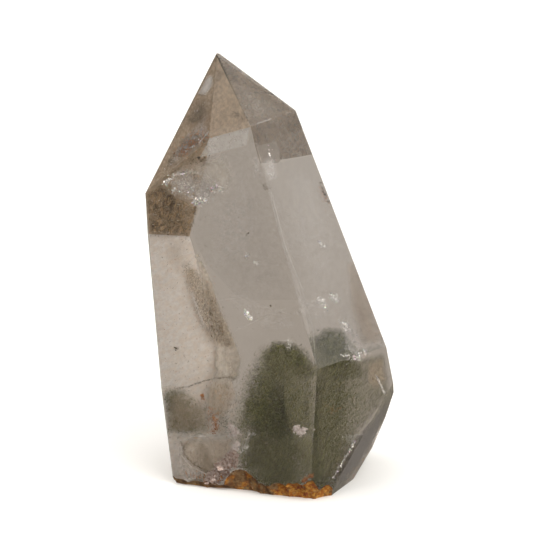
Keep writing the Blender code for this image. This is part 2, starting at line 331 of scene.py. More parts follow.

# Thin veils of fluid and dust in the stone, by piece, and pale sheets that are painted highlights. For each
# row: the flat it is seen through, its share of the way to the far side at its top and at its bottom, how
# much it covers, how many pixels its edge fades over and its outline in pixels
VEILS = {
    "milky_veils": (
        (BROAD, 0.3, 0.3, 0.7, 14.0, ((170, 172), (184, 163), (205, 170), (221, 184), (216, 202),
         (197, 208), (172, 196))),
        # painted highlight: a faint pale strip along the edge between the broad front and the right front
        (RIGHT, 0.05, 0.05, 0.08, 1.2, ((262, 158), (271, 191), (285, 246), (302, 288), (313, 330),
         (312, 350), (298, 300), (278, 220))),
        (BROAD, 0.05, 0.05, 0.3, 1.5, ((172, 438), (178, 442), (184, 452), (197, 469), (206, 473),
         (200, 484), (178, 478))),
        (BROAD, 0.3, 0.3, 0.2, 14.0, ((205, 215), (245, 170), (262, 200), (250, 260), (215, 270))),
        (RIGHT, 0.2, 0.2, 0.16, 12.0, ((282, 165), (318, 175), (338, 240), (330, 300), (305, 280),
         (288, 220))),
        (BROAD, 0.55, 0.55, 0.26, 8.0, ((225, 280), (243, 294), (262, 304), (290, 312), (300, 330),
         (262, 330), (232, 308))),
        (RIGHT, 0.3, 0.3, 0.35, 5.0, ((337, 318), (350, 322), (372, 344), (366, 352), (346, 345))),
        (LEFT_PEAK, 0.05, 0.05, 0.42, 6.0, ((160, 178), (182, 138), (208, 112), (208, 134), (184, 157))),
        (RIGHT, 0.015, 0.015, 0.6, 6.0, ((261, 158), (275, 156), (278, 178), (268, 184))),
        (BROAD, 0.02, 0.02, 0.55, 5.0, ((249, 155), (258, 155), (264, 178), (254, 180))),
    ),
    "beige_veils": (
        (RIGHT_PEAK, 0.015, 0.015, 0.08, 10.0, ((240, 86), (262, 94), (284, 108), (284, 114),
         (256, 122), (246, 108))),
        (BROAD, 0.04, 0.04, 0.62, 14.0, ((184, 163), (198, 159), (226, 150), (240, 176), (226, 200),
         (205, 184))),
        (BROAD, 0.93, 0.93, 0.85, 2.5, ((190, 238), (199, 252), (213, 281), (221, 310), (231, 330),
         (242, 356), (240, 378), (226, 384), (214, 366), (216, 346))),
        (BROAD, 0.8, 0.7, 0.5, 6.0, ((215, 362), (236, 356), (232, 380), (224, 410), (212, 430),
         (206, 420))),
    ),
    "brown_veils": (
        (MIDDLE_PEAK, 0.02, 0.02, 0.8, 0.5, ((216.6, 56.2), (250.5, 126.6), (209.0, 137.2), (213.0, 100))),
        (LEFT_PEAK, 0.06, 0.06, 0.74, 0.5, ((216.1, 56.6), (213.0, 100), (208.9, 137), (147, 191.3),
         (181, 125))),
        (RIGHT, 0.08, 0.08, 0.3, 8.0, ((344, 262), (357, 262), (376, 315), (385, 343), (362, 348),
         (350, 310))),
        (BROAD, 0.12, 0.12, 0.3, 8.0, ((178, 162), (198, 159), (216, 153), (218, 168), (200, 180),
         (184, 176))),
        (LOW_RIGHT, 0.15, 0.15, 0.4, 6.0, ((366, 364), (384, 355), (388, 380), (376, 392), (366, 384))),
        (BROAD, 0.1, 0.06, 0.34, 6.0, ((176, 440), (234, 437), (230, 460), (208, 482), (178, 480))),
        (BROAD, 0.6, 0.5, 0.42, 7.0, ((207, 384), (233, 378), (236, 400), (222, 420), (208, 412))),
        (BROAD, 0.6, 0.55, 0.26, 8.0, ((166, 392), (184, 388), (206, 408), (211, 433), (167, 433))),
        (BROAD, 0.9, 0.9, 0.17, 10.0, ((168, 238), (186, 238), (188, 258), (178, 276), (164, 258))),
    ),
    "speckled_veils": (
        (BROAD, 0.92, 0.92, 0.42, 6.0, ((180, 260), (190, 260), (202, 274), (215, 290), (222, 308),
         (230, 324), (238, 350), (226, 350), (210, 342), (199, 325), (192, 308), (186, 288))),
    ),
    "mottled_veils": (
        (BROAD, 0.9, 0.9, 0.6, 1.5, ((147, 193), (160, 186), (186, 202), (201, 206), (189, 235.5),
         (150, 235.5))),
    ),
    "umber_veils": (
        (RIGHT_PEAK, 0.02, 0.02, 0.78, 0.5, ((217.4, 55.9), (294.6, 111.2), (251.4, 126.2))),
        (RIGHT, 0.02, 0.02, 0.74, 0.5, ((272, 119.4), (295, 112.3), (312.3, 154.5), (280.5, 159.8))),
        (RIGHT, 0.02, 0.02, 0.84, 0.5, ((251.4, 126.8), (272, 119.3), (276.7, 141), (256.6, 146))),
        (RIGHT, 0.02, 0.02, 0.5, 0.5, ((256.6, 146), (276.7, 141), (280.6, 160), (278, 163), (262, 163))),
        (RIGHT, 0.12, 0.12, 0.34, 9.0, ((346, 258), (356, 262), (376, 315), (386, 343), (360, 349),
         (350, 310))),
    ),
    "smoky_veils": (
        (RIGHT_PEAK, 0.015, 0.015, 0.22, 4.0, ((218.5, 57), (236, 69), (242, 88), (229, 78))),
        (MIDDLE_PEAK, 0.015, 0.015, 0.26, 4.0, ((216.6, 57), (226.5, 76.5), (214, 90), (213.3, 80))),
        (LEFT_PEAK, 0.04, 0.04, 0.36, 9.0, ((197, 97), (209, 99), (208, 122), (196, 130), (182, 124))),
        (BEVEL, 0.04, 0.04, 0.9, 5.0, ((357, 442), (386, 400), (388, 408), (370, 450), (348, 480),
         (335, 487), (336, 476))),
    ),
    "pale_veils": (
        # painted highlight: a flat-lit pale patch on the left peak
        (LEFT_PEAK, 0.03, 0.03, 0.66, 4.0, ((206.5, 75), (213.5, 72), (214, 84), (207, 96), (196, 95))),
        # painted highlight: a light strip under the top edge of the broad front
        (BROAD, 0.03, 0.03, 0.34, 0.5, ((209.8, 138.3), (249.2, 127.4), (246.7, 144.8), (199.8, 157.6))),
    ),
    "dusty_veils": (
        (LOW_RIGHT, 0.56, 0.16, 0.5, 7.0, ((317.5, 370.5), (385, 350.5), (391, 386), (390, 398),
         (356, 440), (334, 478), (320, 489), (314.5, 433))),
        (BROAD, 0.5, 0.42, 0.26, 10.0, ((262, 352), (276, 345), (296, 350), (302, 385), (262, 392))),
        (BROAD, 0.22, 0.1, 0.14, 4.0, ((238, 437), (314, 437), (320, 489), (266, 489), (244, 474))),
    ),
    "slate_veils": (
        (BROAD, 0.03, 0.03, 0.055, 0.5, ((199.8, 158.4), (246.9, 145.6), (251, 132), (262, 170),
         (285, 250), (300, 300), (240, 300), (205, 262), (192, 234), (202, 205))),
        (BEVEL, 0.03, 0.03, 0.55, 3.0, ((356, 444), (386, 401), (388, 408), (370, 450), (348, 480),
         (335, 486))),
        (BROAD, 0.4, 0.4, 0.05, 16.0, ((222, 200), (262, 190), (282, 250), (292, 292), (238, 296),
         (215, 262))),
        (RIGHT, 0.03, 0.03, 0.065, 1.0, ((262, 166), (280, 161.5), (312.5, 156), (356, 262), (384, 345),
         (318, 366), (290, 250))),
    ),
    "green_veils": (
        (BROAD, 0.66, 0.34, 0.55, 9.0, ((264, 349), (276, 345), (288, 352), (288, 372), (274, 402),
         (268, 433), (235, 433), (244, 402), (254, 372))),
        (BROAD, 0.68, 0.38, 0.28, 11.0, ((258, 345), (276, 338), (300, 346), (313, 372), (313, 434),
         (226, 434), (236, 400), (246, 370))),
        (RIGHT, 0.55, 0.5, 0.5, 8.0, ((318, 345), (326, 334), (342, 336), (352, 350), (358, 366),
         (320, 368))),
        (RIGHT, 0.8, 0.68, 1.0, 6.5, ((314, 340), (324, 326), (344, 328), (356, 346), (364, 366),
         (318, 369))),
        (LOW_RIGHT, 0.6, 0.2, 0.26, 9.0, ((318, 374), (344, 366), (350, 400), (338, 450), (322, 486),
         (315, 433))),
        (BROAD, 0.78, 0.7, 0.42, 9.0, ((164, 388), (184, 386), (208, 408), (212, 434), (166, 434))),
    ),
}
# Veils: pixels between their points, their thickness, and the margins that they keep from the flats and chips
VEIL_MESH = 3.5
VEIL_THICKNESS = 0.05
VEIL_MARGIN = 0.02
VEIL_CHIP_MARGIN = 0.1
VEIL_WAVE = 0.010

# Outlines in pixels that more than one kind of strand fills
PATCH = ((147, 192), (160, 184), (186, 200), (200, 207), (189, 236), (150, 236))
BAND = (
    (181, 264), (190, 264), (202, 276), (214, 296), (220, 312), (228, 330), (230, 344), (218, 340),
    (204, 324), (195, 304), (190, 288),
)
RIGHT_CLOUD = ((318, 372), (384, 354), (389, 392), (357, 437), (335, 474), (322, 486), (315, 433))
FOOT_CLOUD = ((238, 437), (314, 437), (320, 486), (266, 488), (244, 474))
PEAK_WINDOW = ((216, 70), (248, 124), (210, 134))
CLEAR_MIDDLE = ((205, 170), (300, 200), (312, 340), (230, 335))

# Fine strands and needles, by piece. For each row: the flat they are seen through, their share of the way to
# the far side at the top and at the bottom, the way they run in degrees below level, how far they stray from
# it, their length in pixels, their number, their width in millimetres and the outline they lie in
STRAND_STRAY = 1.6
STRANDS = {
    "dark_strands": (
        (BROAD, 0.93, 0.93, 150, 60, 2.4, 150, 0.14, PATCH),
        (BROAD, 0.91, 0.91, 60, 60, 1.3, 130, 0.16, BAND),
        (LEFT_PEAK, 0.035, 0.035, 140, 50, 2.2, 260, 0.12, ((160, 172), (182, 140), (207, 128),
         (208, 136), (184, 157), (164, 175))),
        (BROAD, 0.55, 0.4, 110, 30, 3.0, 360, 0.09, ((205, 380), (236, 362), (240, 400), (226, 432),
         (206, 430))),
        (RIGHT_PEAK, 0.06, 0.1, 40, 60, 1.8, 160, 0.07, ((225, 66), (290, 110), (308, 150), (282, 158),
         (250, 124))),
        (MIDDLE_PEAK, 0.06, 0.1, 140, 40, 2.2, 170, 0.08, PEAK_WINDOW),
        (BROAD, 0.7, 0.7, 90, 90, 1.6, 150, 0.1, ((160, 245), (230, 245), (238, 380), (170, 385))),
        (BROAD, 0.2, 0.3, 90, 90, 1.5, 90, 0.08, CLEAR_MIDDLE),
        (RIGHT, 0.2, 0.25, 70, 30, 3.0, 140, 0.11, ((354, 270), (360, 268), (380, 325), (386, 345),
         (362, 345), (356, 310))),
        (BROAD, 0.1, 0.06, 70, 60, 2.0, 120, 0.09, ((178, 442), (232, 438), (226, 462), (206, 478),
         (184, 478))),
    ),
    "deep_strands": (
        (BROAD, 0.66, 0.36, 120, 30, 2.6, 800, 0.1, ((262, 350), (274, 345), (290, 352), (282, 400),
         (270, 432), (236, 432), (248, 385))),
        (BROAD, 0.6, 0.32, 120, 30, 2.6, 420, 0.09, ((286, 350), (302, 354), (313, 385), (313, 432),
         (275, 432))),
        (RIGHT, 0.76, 0.64, 115, 40, 3.5, 420, 0.1, ((318, 336), (330, 328), (344, 332), (356, 350),
         (356, 366), (318, 367))),
        (LOW_RIGHT, 0.58, 0.18, 118, 14, 6.0, 620, 0.065, RIGHT_CLOUD),
        (BROAD, 0.28, 0.1, 112, 14, 6.0, 420, 0.09, FOOT_CLOUD),
        (BROAD, 0.74, 0.66, 70, 50, 2.5, 360, 0.12, ((166, 392), (182, 390), (204, 408), (208, 433),
         (168, 433))),
    ),
    "green_strands": (
        (BROAD, 0.6, 0.3, 125, 30, 3.0, 420, 0.07, ((262, 346), (282, 342), (302, 352), (313, 385),
         (313, 432), (240, 432), (250, 380))),
        (RIGHT, 0.76, 0.64, 115, 40, 4.0, 240, 0.085, ((317, 334), (330, 328), (346, 334), (360, 352),
         (362, 364), (318, 366))),
        (LOW_RIGHT, 0.58, 0.18, 118, 12, 10.0, 320, 0.055, RIGHT_CLOUD),
        (BROAD, 0.28, 0.1, 112, 14, 10.0, 300, 0.08, FOOT_CLOUD),
        (BROAD, 0.72, 0.64, 60, 40, 3.0, 240, 0.1, ((166, 392), (182, 390), (204, 408), (212, 433),
         (168, 433))),
    ),
    "rust_strands": (
        (RIGHT, 0.22, 0.3, 65, 25, 3.5, 110, 0.1, ((362, 292), (376, 298), (384, 330), (384, 344),
         (366, 340), (358, 312))),
        (LEFT_PEAK, 0.035, 0.035, 60, 80, 1.7, 150, 0.22, ((186, 136), (207, 130), (208, 137),
         (184, 157), (174, 158))),
        (BROAD, 0.25, 0.25, 80, 40, 2.4, 120, 0.12, ((208, 406), (218, 408), (222, 432), (208, 434))),
        (BROAD, 0.03, 0.03, 75, 12, 7.0, 70, 0.14, ((190, 476), (205, 474), (208, 490), (192, 490))),
        (RIGHT, 0.08, 0.08, 60, 80, 2.4, 60, 0.12, ((317, 184), (328, 186), (332, 204), (324, 206))),
        (LOW_RIGHT, 0.05, 0.05, 60, 80, 1.2, 14, 0.22, ((322, 404), (346, 404), (346, 412), (322, 412))),
        (BROAD, 0.5, 0.5, 60, 80, 1.5, 80, 0.11, ((155, 260), (235, 260), (240, 380), (165, 430))),
        (BEVEL, 0.03, 0.03, 60, 80, 1.5, 60, 0.16, ((346, 476), (368, 452), (372, 458), (350, 486))),
    ),
    "pale_strands": (
        (BROAD, 0.88, 0.88, 30, 50, 3.0, 130, 0.15, PATCH),
        (BROAD, 0.9, 0.9, 60, 60, 1.3, 190, 0.17, BAND),
        (MIDDLE_PEAK, 0.06, 0.1, 140, 40, 2.5, 120, 0.08, PEAK_WINDOW),
        (BROAD, 0.2, 0.3, 60, 60, 2.0, 150, 0.08, CLEAR_MIDDLE),
        (RIGHT, 0.2, 0.3, 60, 60, 2.0, 120, 0.08, ((285, 165), (316, 175), (352, 262), (372, 330),
         (316, 330), (300, 250))),
    ),
}


# Flaws, veils and strands that stand for the phantom; the others stand for the stone
GREEN_PIECES = ("chlorite_wisp", "green_veils", "dusty_veils", "deep_strands", "green_strands")

# Dark and light colour and roughness of each kind of speck and strand
MINERALS = {
    "brown_specks": ((0.055, 0.040, 0.022), (0.19, 0.14, 0.08), 0.6),
    "rust_specks": ((0.34, 0.11, 0.035), (0.55, 0.26, 0.09), 0.6),
    # pale dust, also used for the painted edge highlights
    "pale_dust": ((0.80, 0.79, 0.78), (0.95, 0.93, 0.92), 0.5),
    "white_fractures": ((0.60, 0.50, 0.46), (0.92, 0.86, 0.84), 0.35),
    "pink_crust": ((0.32, 0.20, 0.155), (0.66, 0.55, 0.50), 0.6),
    "dark_strands": ((0.075, 0.060, 0.028), (0.20, 0.155, 0.085), 0.6),
    "deep_strands": ((0.045, 0.055, 0.012), (0.13, 0.135, 0.045), 0.6),
    "green_strands": ((0.17, 0.175, 0.06), (0.36, 0.34, 0.19), 0.6),
    "rust_strands": ((0.30, 0.09, 0.03), (0.55, 0.26, 0.10), 0.6),
    "pale_strands": ((0.36, 0.33, 0.25), (0.75, 0.70, 0.62), 0.5),
}

# Dark and light colour of each kind of veil, how far its patchiness follows the setting and how patchy it is
# of its own, the size of its patches in millimetres and whether they run down to the front as streaks
VEIL_LOOKS = {
    # milky veils; one row of them is a painted edge highlight
    "milky_veils": ((0.72, 0.68, 0.65), (0.95, 0.93, 0.92), 1.0, 0.0, 1.1, False),
    "beige_veils": ((0.84, 0.77, 0.68), (0.97, 0.93, 0.87), 0.4, 0.0, 1.1, False),
    "brown_veils": ((0.50, 0.385, 0.275), (0.70, 0.57, 0.43), 0.5, 0.0, 1.1, False),
    "speckled_veils": ((0.27, 0.19, 0.10), (0.72, 0.58, 0.40), 0.0, 1.0, 0.4, False),
    "mottled_veils": ((0.14, 0.092, 0.038), (0.85, 0.63, 0.40), 0.0, 0.8, 2.2, False),
    "umber_veils": ((0.20, 0.145, 0.095), (0.30, 0.235, 0.165), 0.5, 0.0, 1.1, False),
    "smoky_veils": ((0.10, 0.07, 0.04), (0.25, 0.20, 0.14), 1.0, 0.0, 1.1, False),
    # painted highlights rather than veils in the stone
    "pale_veils": ((0.93, 0.90, 0.87), (0.99, 0.98, 0.97), 0.4, 0.0, 1.1, False),
    "dusty_veils": ((0.155, 0.150, 0.070), (0.33, 0.305, 0.185), 0.6, 0.0, 0.7, True),
    "slate_veils": ((0.13, 0.13, 0.13), (0.21, 0.205, 0.20), 1.0, 0.0, 1.1, False),
    "green_veils": ((0.068, 0.074, 0.014), (0.20, 0.20, 0.065), 1.0, 0.0, 0.7, True),
}


# Geometry of the flats

def facing(azimuth, slope):
    """Unit vector pointing out of a flat."""
    turn = math.radians(azimuth)
    lean = math.radians(slope)
    level = math.cos(lean)
    return Vector((level * math.sin(turn), -level * math.cos(turn), math.sin(lean)))


def blank_mesh():
    """Block cut back to the flats of the crystal, in millimetres on its own axes."""
    bm = bmesh.new()
    bmesh.ops.create_cube(bm, size=BLANK_SIDE)
    for name, azimuth, slope, distance in FLATS:
        out = facing(azimuth, slope)
        bmesh.ops.bisect_plane(
            bm,
            geom=bm.verts[:] + bm.edges[:] + bm.faces[:],
            dist=CUT_WIDTH,
            plane_co=out * distance,
            plane_no=out,
            clear_outer=True,
        )
        rim = [edge for edge in bm.edges if edge.is_boundary]
        if rim:
            bmesh.ops.holes_fill(bm, edges=rim, sides=0)
    bmesh.ops.remove_doubles(bm, verts=bm.verts[:], dist=WELD_WIDTH)
    bmesh.ops.recalc_face_normals(bm, faces=bm.faces[:])
    return bm


def settle_shift():
    """How far, in millimetres, the design's axes lie from the frame's, from the two bounding boxes."""
    bm = blank_mesh()
    low = [min(vert.co[axis] for vert in bm.verts) for axis in range(3)]
    high = [max(vert.co[axis] for vert in bm.verts) for axis in range(3)]
    bm.free()
    middle = (CAD_LOW + CAD_HIGH) / 2.0 / MM
    level = [middle[axis] - (low[axis] + high[axis]) / 2.0 for axis in range(2)]
    return Vector((*level, CAD_HIGH.z / MM - high[2]))


SETTLE = settle_shift()
OUTWARD = {name: facing(azimuth, slope) for name, azimuth, slope, distance in FLATS}
DISTANCE = {name: distance for name, azimuth, slope, distance in FLATS}
FLAT_NORMALS = np.array([OUTWARD[row[0]] for row in FLATS])
FLAT_DISTANCES = np.array([row[3] for row in FLATS])


def depth_inside(points):
    """How far points lie under the nearest flat, in millimetres; below zero outside the stone."""
    return (FLAT_DISTANCES[None, :] - points @ FLAT_NORMALS.T).min(axis=1)


def pulled_inside(points, margin):
    """Points moved to a margin under the flats that they stick out of."""
    points = points.copy()
    for turn in range(4):
        for out, distance in zip(FLAT_NORMALS, FLAT_DISTANCES):
            over = np.maximum(points @ out - distance + margin, 0.0)
            points -= over[:, None] * out
    return points


def clear_of_chips(points, margin):
    """True where points keep a margin from every chip broken out of the rim."""
    clear = np.ones(len(points), bool)
    for azimuth, middle, half_widths in RIM_CHIPS + STAINED_CHIPS:
        turn = math.radians(azimuth)
        along = np.array((math.cos(turn), math.sin(turn), 0.0))
        out = np.array((math.sin(turn), -math.cos(turn), 0.0))
        away = points - np.array(middle)
        share = (away @ along / (half_widths[0] + margin)) ** 2
        share += (away @ out / (half_widths[1] + margin)) ** 2
        share += (away[:, 2] / (half_widths[2] + margin)) ** 2
        clear &= share > CHIP_REACH
    return clear


def well_inside(points, margins):
    """True where points keep their margins from the flats and from the chips."""
    return (depth_inside(points) > margins[0]) & clear_of_chips(points, margins[1])


# The camera's view of the stone

CAMERA_TARGET = Vector((-0.7, -1.8, 46.0))
CAMERA_ELEVATION = 15.0
LENS = 500.0
SENSOR = 36.0
PICTURE_WIDTH = 0.21 * PICTURE_SIDE
CLIP_RANGE = (0.05, 20.0)
LIGHT_BOUNCES = 32

# Limits of the sums: a line along a flat, a flat that a line starts on, and a distance that is never reached
TINY = 1e-6
AT_ONCE = 1e-3
FAR_AWAY = 1e9

# Soft lights of the studio: unit direction to each, colour with brightness, and how many degrees it reaches
SOFT_LIGHTS = (
    ((0.45, -0.75, 0.485), (3.6, 3.5, 3.35), 42.0),
    ((0.93, -0.25, 0.27), (1.5, 1.45, 1.4), 26.0),
)


def camera_axes():
    """Forward, right and up of the camera."""
    lift = math.radians(CAMERA_ELEVATION)
    forward = Vector((0.0, math.cos(lift), -math.sin(lift)))
    return forward, Vector((1.0, 0.0, 0.0)), Vector((0.0, math.sin(lift), math.cos(lift)))


def camera_place():
    """Where the camera stands, in frame millimetres."""
    forward, right, up = camera_axes()
    return CAMERA_TARGET - forward * (PICTURE_WIDTH * LENS / SENSOR)


def sight_line(pixel):
    """Start and direction of the line of sight through a pixel, on the design's axes."""
    forward, right, up = camera_axes()
    across = (pixel[0] - PICTURE_SIDE / 2.0) / PICTURE_SIDE * SENSOR / LENS
    down = (pixel[1] - PICTURE_SIDE / 2.0) / PICTURE_SIDE * SENSOR / LENS
    return camera_place() - SETTLE, (forward + right * across - up * down).normalized()


def on_flat(pixel, flat):
    """Point of a flat that a pixel shows, and the direction of sight there."""
    start, sight = sight_line(pixel)
    out = OUTWARD[flat]
    return start + sight * ((DISTANCE[flat] - out.dot(start)) / out.dot(sight)), sight


def bent_sight(pixels, flat):
    """Points of a flat shown at pixels, the bent directions of sight behind it and how far each reaches."""
    starts = []
    directions = []
    for pixel in pixels:
        spot, sight = on_flat(pixel, flat)
        starts.append(spot)
        directions.append(sight)
    starts = np.array(starts)
    directions = np.array(directions)
    out = np.array(OUTWARD[flat])
    slowing = 1.0 / QUARTZ_IOR
    straight = -directions @ out
    turned = slowing * straight - np.sqrt(1.0 - slowing ** 2 * (1.0 - straight ** 2))
    bent = directions * slowing + out[None] * turned[:, None]
    closing = bent @ FLAT_NORMALS.T
    gap = FLAT_DISTANCES[None] - starts @ FLAT_NORMALS.T
    reach = np.where(closing > TINY, gap / np.maximum(closing, TINY), FAR_AWAY)
    reach = np.where(reach < AT_ONCE, FAR_AWAY, reach)
    return starts, bent, reach.min(axis=1)


def seen_through(pixels, flat, shares):
    """Points inside the stone shown at pixels, each at its share of the way from the flat to the far side."""
    starts, bent, reach = bent_sight(pixels, flat)
    return starts + bent * (reach * shares)[:, None]


# Shader recipes

class Wire:
    """A shader socket that takes part in Python expressions; each operation adds one Math node."""

    def __init__(self, recipe, socket):
        self.recipe = recipe
        self.socket = socket

    def __add__(self, other):
        return self.recipe.sum_of("ADD", self, other)

    def __sub__(self, other):
        return self.recipe.sum_of("SUBTRACT", self, other)

    def __rsub__(self, other):
        return self.recipe.sum_of("SUBTRACT", other, self)

    def __mul__(self, other):
        return self.recipe.sum_of("MULTIPLY", self, other)

    __radd__ = __add__
    __rmul__ = __mul__


class Recipe:
    """Node tree of one material, filled by plain calls."""

    def __init__(self, tree):
        self.tree = tree
        tree.nodes.clear()

    def add(self, kind, settings=None, output=0, **sockets):
        """Add a node: its settings first, then its sockets by name, each a value or a wire."""
        node = self.tree.nodes.new(kind)
        for key, value in (settings or {}).items():
            setattr(node, key, value)
        for key, value in sockets.items():
            self.plug(node, key, value)
        return Wire(self, node.outputs[output])

    def plug(self, node, key, value):
        """Set or link a socket, named in lower case with _ for spaces, or by its number after a letter s."""
        if key[0] == "s" and key[1:].isdigit():
            socket = node.inputs[int(key[1:])]
        else:
            socket = next(each for each in node.inputs if each.name.lower().replace(" ", "_") == key)
        if isinstance(value, Wire):
            self.tree.links.new(value.socket, socket)
        else:
            socket.default_value = value

    def sum_of(self, operation, first, second):
        """Sum, difference or product of two values."""
        return self.add("ShaderNodeMath", {"operation": operation}, s0=first, s1=second)

    def between(self, low, high, value):
        """0 below low, 1 above high, smooth in between."""
        return self.add(
            "ShaderNodeMapRange", {"interpolation_type": "SMOOTHSTEP"},
            value=value, from_min=low, from_max=high, to_min=0.0, to_max=1.0,
        )

    def place(self):
        """Position on the piece in metres."""
        return self.add("ShaderNodeTexCoord", output=3)

    def stretched(self, scale, turn=(0.0, 0.0, 0.0)):
        """Position on the piece, turned and scaled."""
        return self.add("ShaderNodeMapping", vector=self.place(), rotation=turn, scale=scale)

    def grain(self, size, detail=3.0, roughness=0.55, vector=None, output=0):
        """Noise whose lumps are about a size in millimetres across."""
        return self.add(
            "ShaderNodeTexNoise", output=output,
            vector=vector or self.place(), scale=1.0 / (size * MM), detail=detail, roughness=roughness,
        )

    def tint(self, low, high, share):
        """Colour between two colours."""
        low = low if isinstance(low, Wire) else (*low, 1.0)
        high = high if isinstance(high, Wire) else (*high, 1.0)
        return self.add("ShaderNodeMix", {"data_type": "RGBA"}, output=2, s0=share, s6=low, s7=high)

    def relief(self, height, distance, strength=1.0):
        """Bumps of a height wire, with a distance in millimetres."""
        return self.add("ShaderNodeBump", height=height, distance=distance * MM, strength=strength)

    def skin(self, **sockets):
        """Main shader."""
        return self.add("ShaderNodeBsdfPrincipled", **sockets)

    def clear(self, **sockets):
        """Main shader of see-through quartz."""
        return self.skin(ior=QUARTZ_IOR, transmission_weight=1.0, **sockets)

    def mixed(self, share, first, second):
        """Two shaders mixed by a share."""
        return self.add("ShaderNodeMixShader", s0=share, s1=first, s2=second)

    def smoke(self, settings):
        """The light that the stone takes up inside."""
        return self.add(
            "ShaderNodeVolumeAbsorption", color=(*settings.smoke_colour, 1.0), density=settings.smoke)

    def finish(self, surface, volume=None):
        """Output node."""
        node = self.tree.nodes.new("ShaderNodeOutputMaterial")
        self.plug(node, "surface", surface)
        if volume is not None:
            self.plug(node, "volume", volume)


def new_material(name):
    """Empty material with its recipe."""
    material = bpy.data.materials.new(name)
    material.use_nodes = True
    return material, Recipe(material.node_tree)


# Meshes

def placed(name, mesh):
    """Object of a mesh, in the scene."""
    item = bpy.data.objects.new(name, mesh)
    bpy.context.scene.collection.objects.link(item)
    return item


def declare(item, node):
    """Let a piece ride on the stone's body and stand for a node, and hide that node's imported part."""
    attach(item, "root")
    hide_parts(node)


def put_in_scene(name, mesh, material, node):
    """Object for one piece, declared."""
    mesh.materials.append(material)
    declare(placed(name, mesh), node)


def work_object(name, bm):
    """Object from a working mesh."""
    mesh = bpy.data.meshes.new(name)
    bm.to_mesh(mesh)
    bm.free()
    return placed(name, mesh)


def joined_mesh(name, points, faces):
    """Mesh of many small closed forms with the same faces, from their points in frame millimetres."""
    count, corners = points.shape[:2]
    indices = (np.arange(count)[:, None, None] * corners + np.array(faces)[None]).reshape(-1, 3)
    mesh = bpy.data.meshes.new(name)
    mesh.from_pydata((points.reshape(-1, 3) * MM).tolist(), [], indices.tolist())
    mesh.update()
    return mesh


def take_away(target, tool):
    """Cut the tool out of the target, keep the tool's material on the cut, and delete the tool."""
    cut = target.modifiers.new("cut", "BOOLEAN")
    cut.operation = "DIFFERENCE"
    cut.solver = "EXACT"
    cut.material_mode = "TRANSFER"
    cut.object = tool
    bpy.context.view_layer.update()
    graph = bpy.context.evaluated_depsgraph_get()
    mesh = bpy.data.meshes.new_from_object(target.evaluated_get(graph))
    target.modifiers.remove(cut)
    old = target.data
    target.data = mesh
    bpy.data.meshes.remove(old)
    bpy.data.objects.remove(tool, do_unlink=True)


def pebble(azimuth, middle, half_widths, fineness, phase, material):
    """Bumpy pebble with fine ripples, used to break a chip out of the stone."""
    turn = math.radians(azimuth)
    along = Vector((math.cos(turn), math.sin(turn), 0.0))
    out = Vector((math.sin(turn), -math.cos(turn), 0.0))
    up = Vector((0.0, 0.0, 1.0))
    strike = Vector((math.cos(phase), -0.6, math.sin(phase))).normalized()
    bm = bmesh.new()
    bmesh.ops.create_icosphere(bm, subdivisions=fineness, radius=1.0)
    for vert in bm.verts:
        direction = vert.co.normalized()
        bump = 1.0
        bump += 0.05 * math.sin(3.1 * direction.x + 2.3 * direction.y + phase)
        bump += 0.04 * math.sin(4.7 * direction.z - 2.9 * direction.x + 1.7 * phase)
        bump += 0.012 * math.sin((direction - strike).length * 16.0)
        slanted = math.sin(19.0 * direction.x + 5.0 * direction.z + phase)
        bump += 0.008 * slanted * math.sin(23.0 * direction.z + phase)
        reach = along * (direction.x * half_widths[0])
        reach = reach + out * (direction.y * half_widths[1])
        reach = reach + up * (direction.z * half_widths[2])
        vert.co = Vector(middle) + reach * bump
    # the three directions mirror the ball, so its faces are turned to look outward again
    bmesh.ops.reverse_faces(bm, faces=bm.faces[:])
    item = work_object("chip", bm)
    item.data.materials.append(material)
    return item


def cloud(points, size, seed):
    """Smooth random values from 0 to 1 in space, with lumps of a size in millimetres."""
    scaled = points / size + 100.0 + seed
    cell = np.floor(scaled)
    share = scaled - cell
    share = share * share * (3.0 - 2.0 * share)
    total = np.zeros(len(points))
    for corner in itertools.product((0, 1), repeat=3):
        corner = np.array(corner)
        spread = np.sin((cell + corner) @ np.array(SCRAMBLE_WAY) + seed) * SCRAMBLE_GAIN
        weight = np.where(corner, share, 1.0 - share).prod(axis=1)
        total += weight * (spread - np.floor(spread))
    return total


def flake_mesh(name, spots, sizes, draw):
    """Small closed four-cornered flakes turned every way, as one mesh; spots on the design's axes."""
    count = len(spots)
    corners = np.array(TETRAHEDRON) / math.sqrt(3.0)
    turns = draw.normal(size=(count, 4))
    turns /= np.linalg.norm(turns, axis=1)[:, None]
    w, x, y, z = turns.T
    spin = np.array((
        (1 - 2 * (y * y + z * z), 2 * (x * y - z * w), 2 * (x * z + y * w)),
        (2 * (x * y + z * w), 1 - 2 * (x * x + z * z), 2 * (y * z - x * w)),
        (2 * (x * z - y * w), 2 * (y * z + x * w), 1 - 2 * (x * x + y * y)),
    )).transpose(2, 0, 1)
    length = draw.uniform(0.8, 1.2, count)
    width = draw.uniform(0.6, 1.0, count)
    stretch = np.stack((length, width, np.full(count, GRAIN_FLATNESS)), axis=1)
    local = corners[None] * stretch[:, None] * (sizes / 2.0)[:, None, None]
    points = np.einsum("nij,nkj->nki", spin, local) + (spots + np.array(SETTLE))[:, None]
    return joined_mesh(name, points, ((0, 1, 2), (0, 3, 1), (0, 2, 3), (1, 3, 2)))


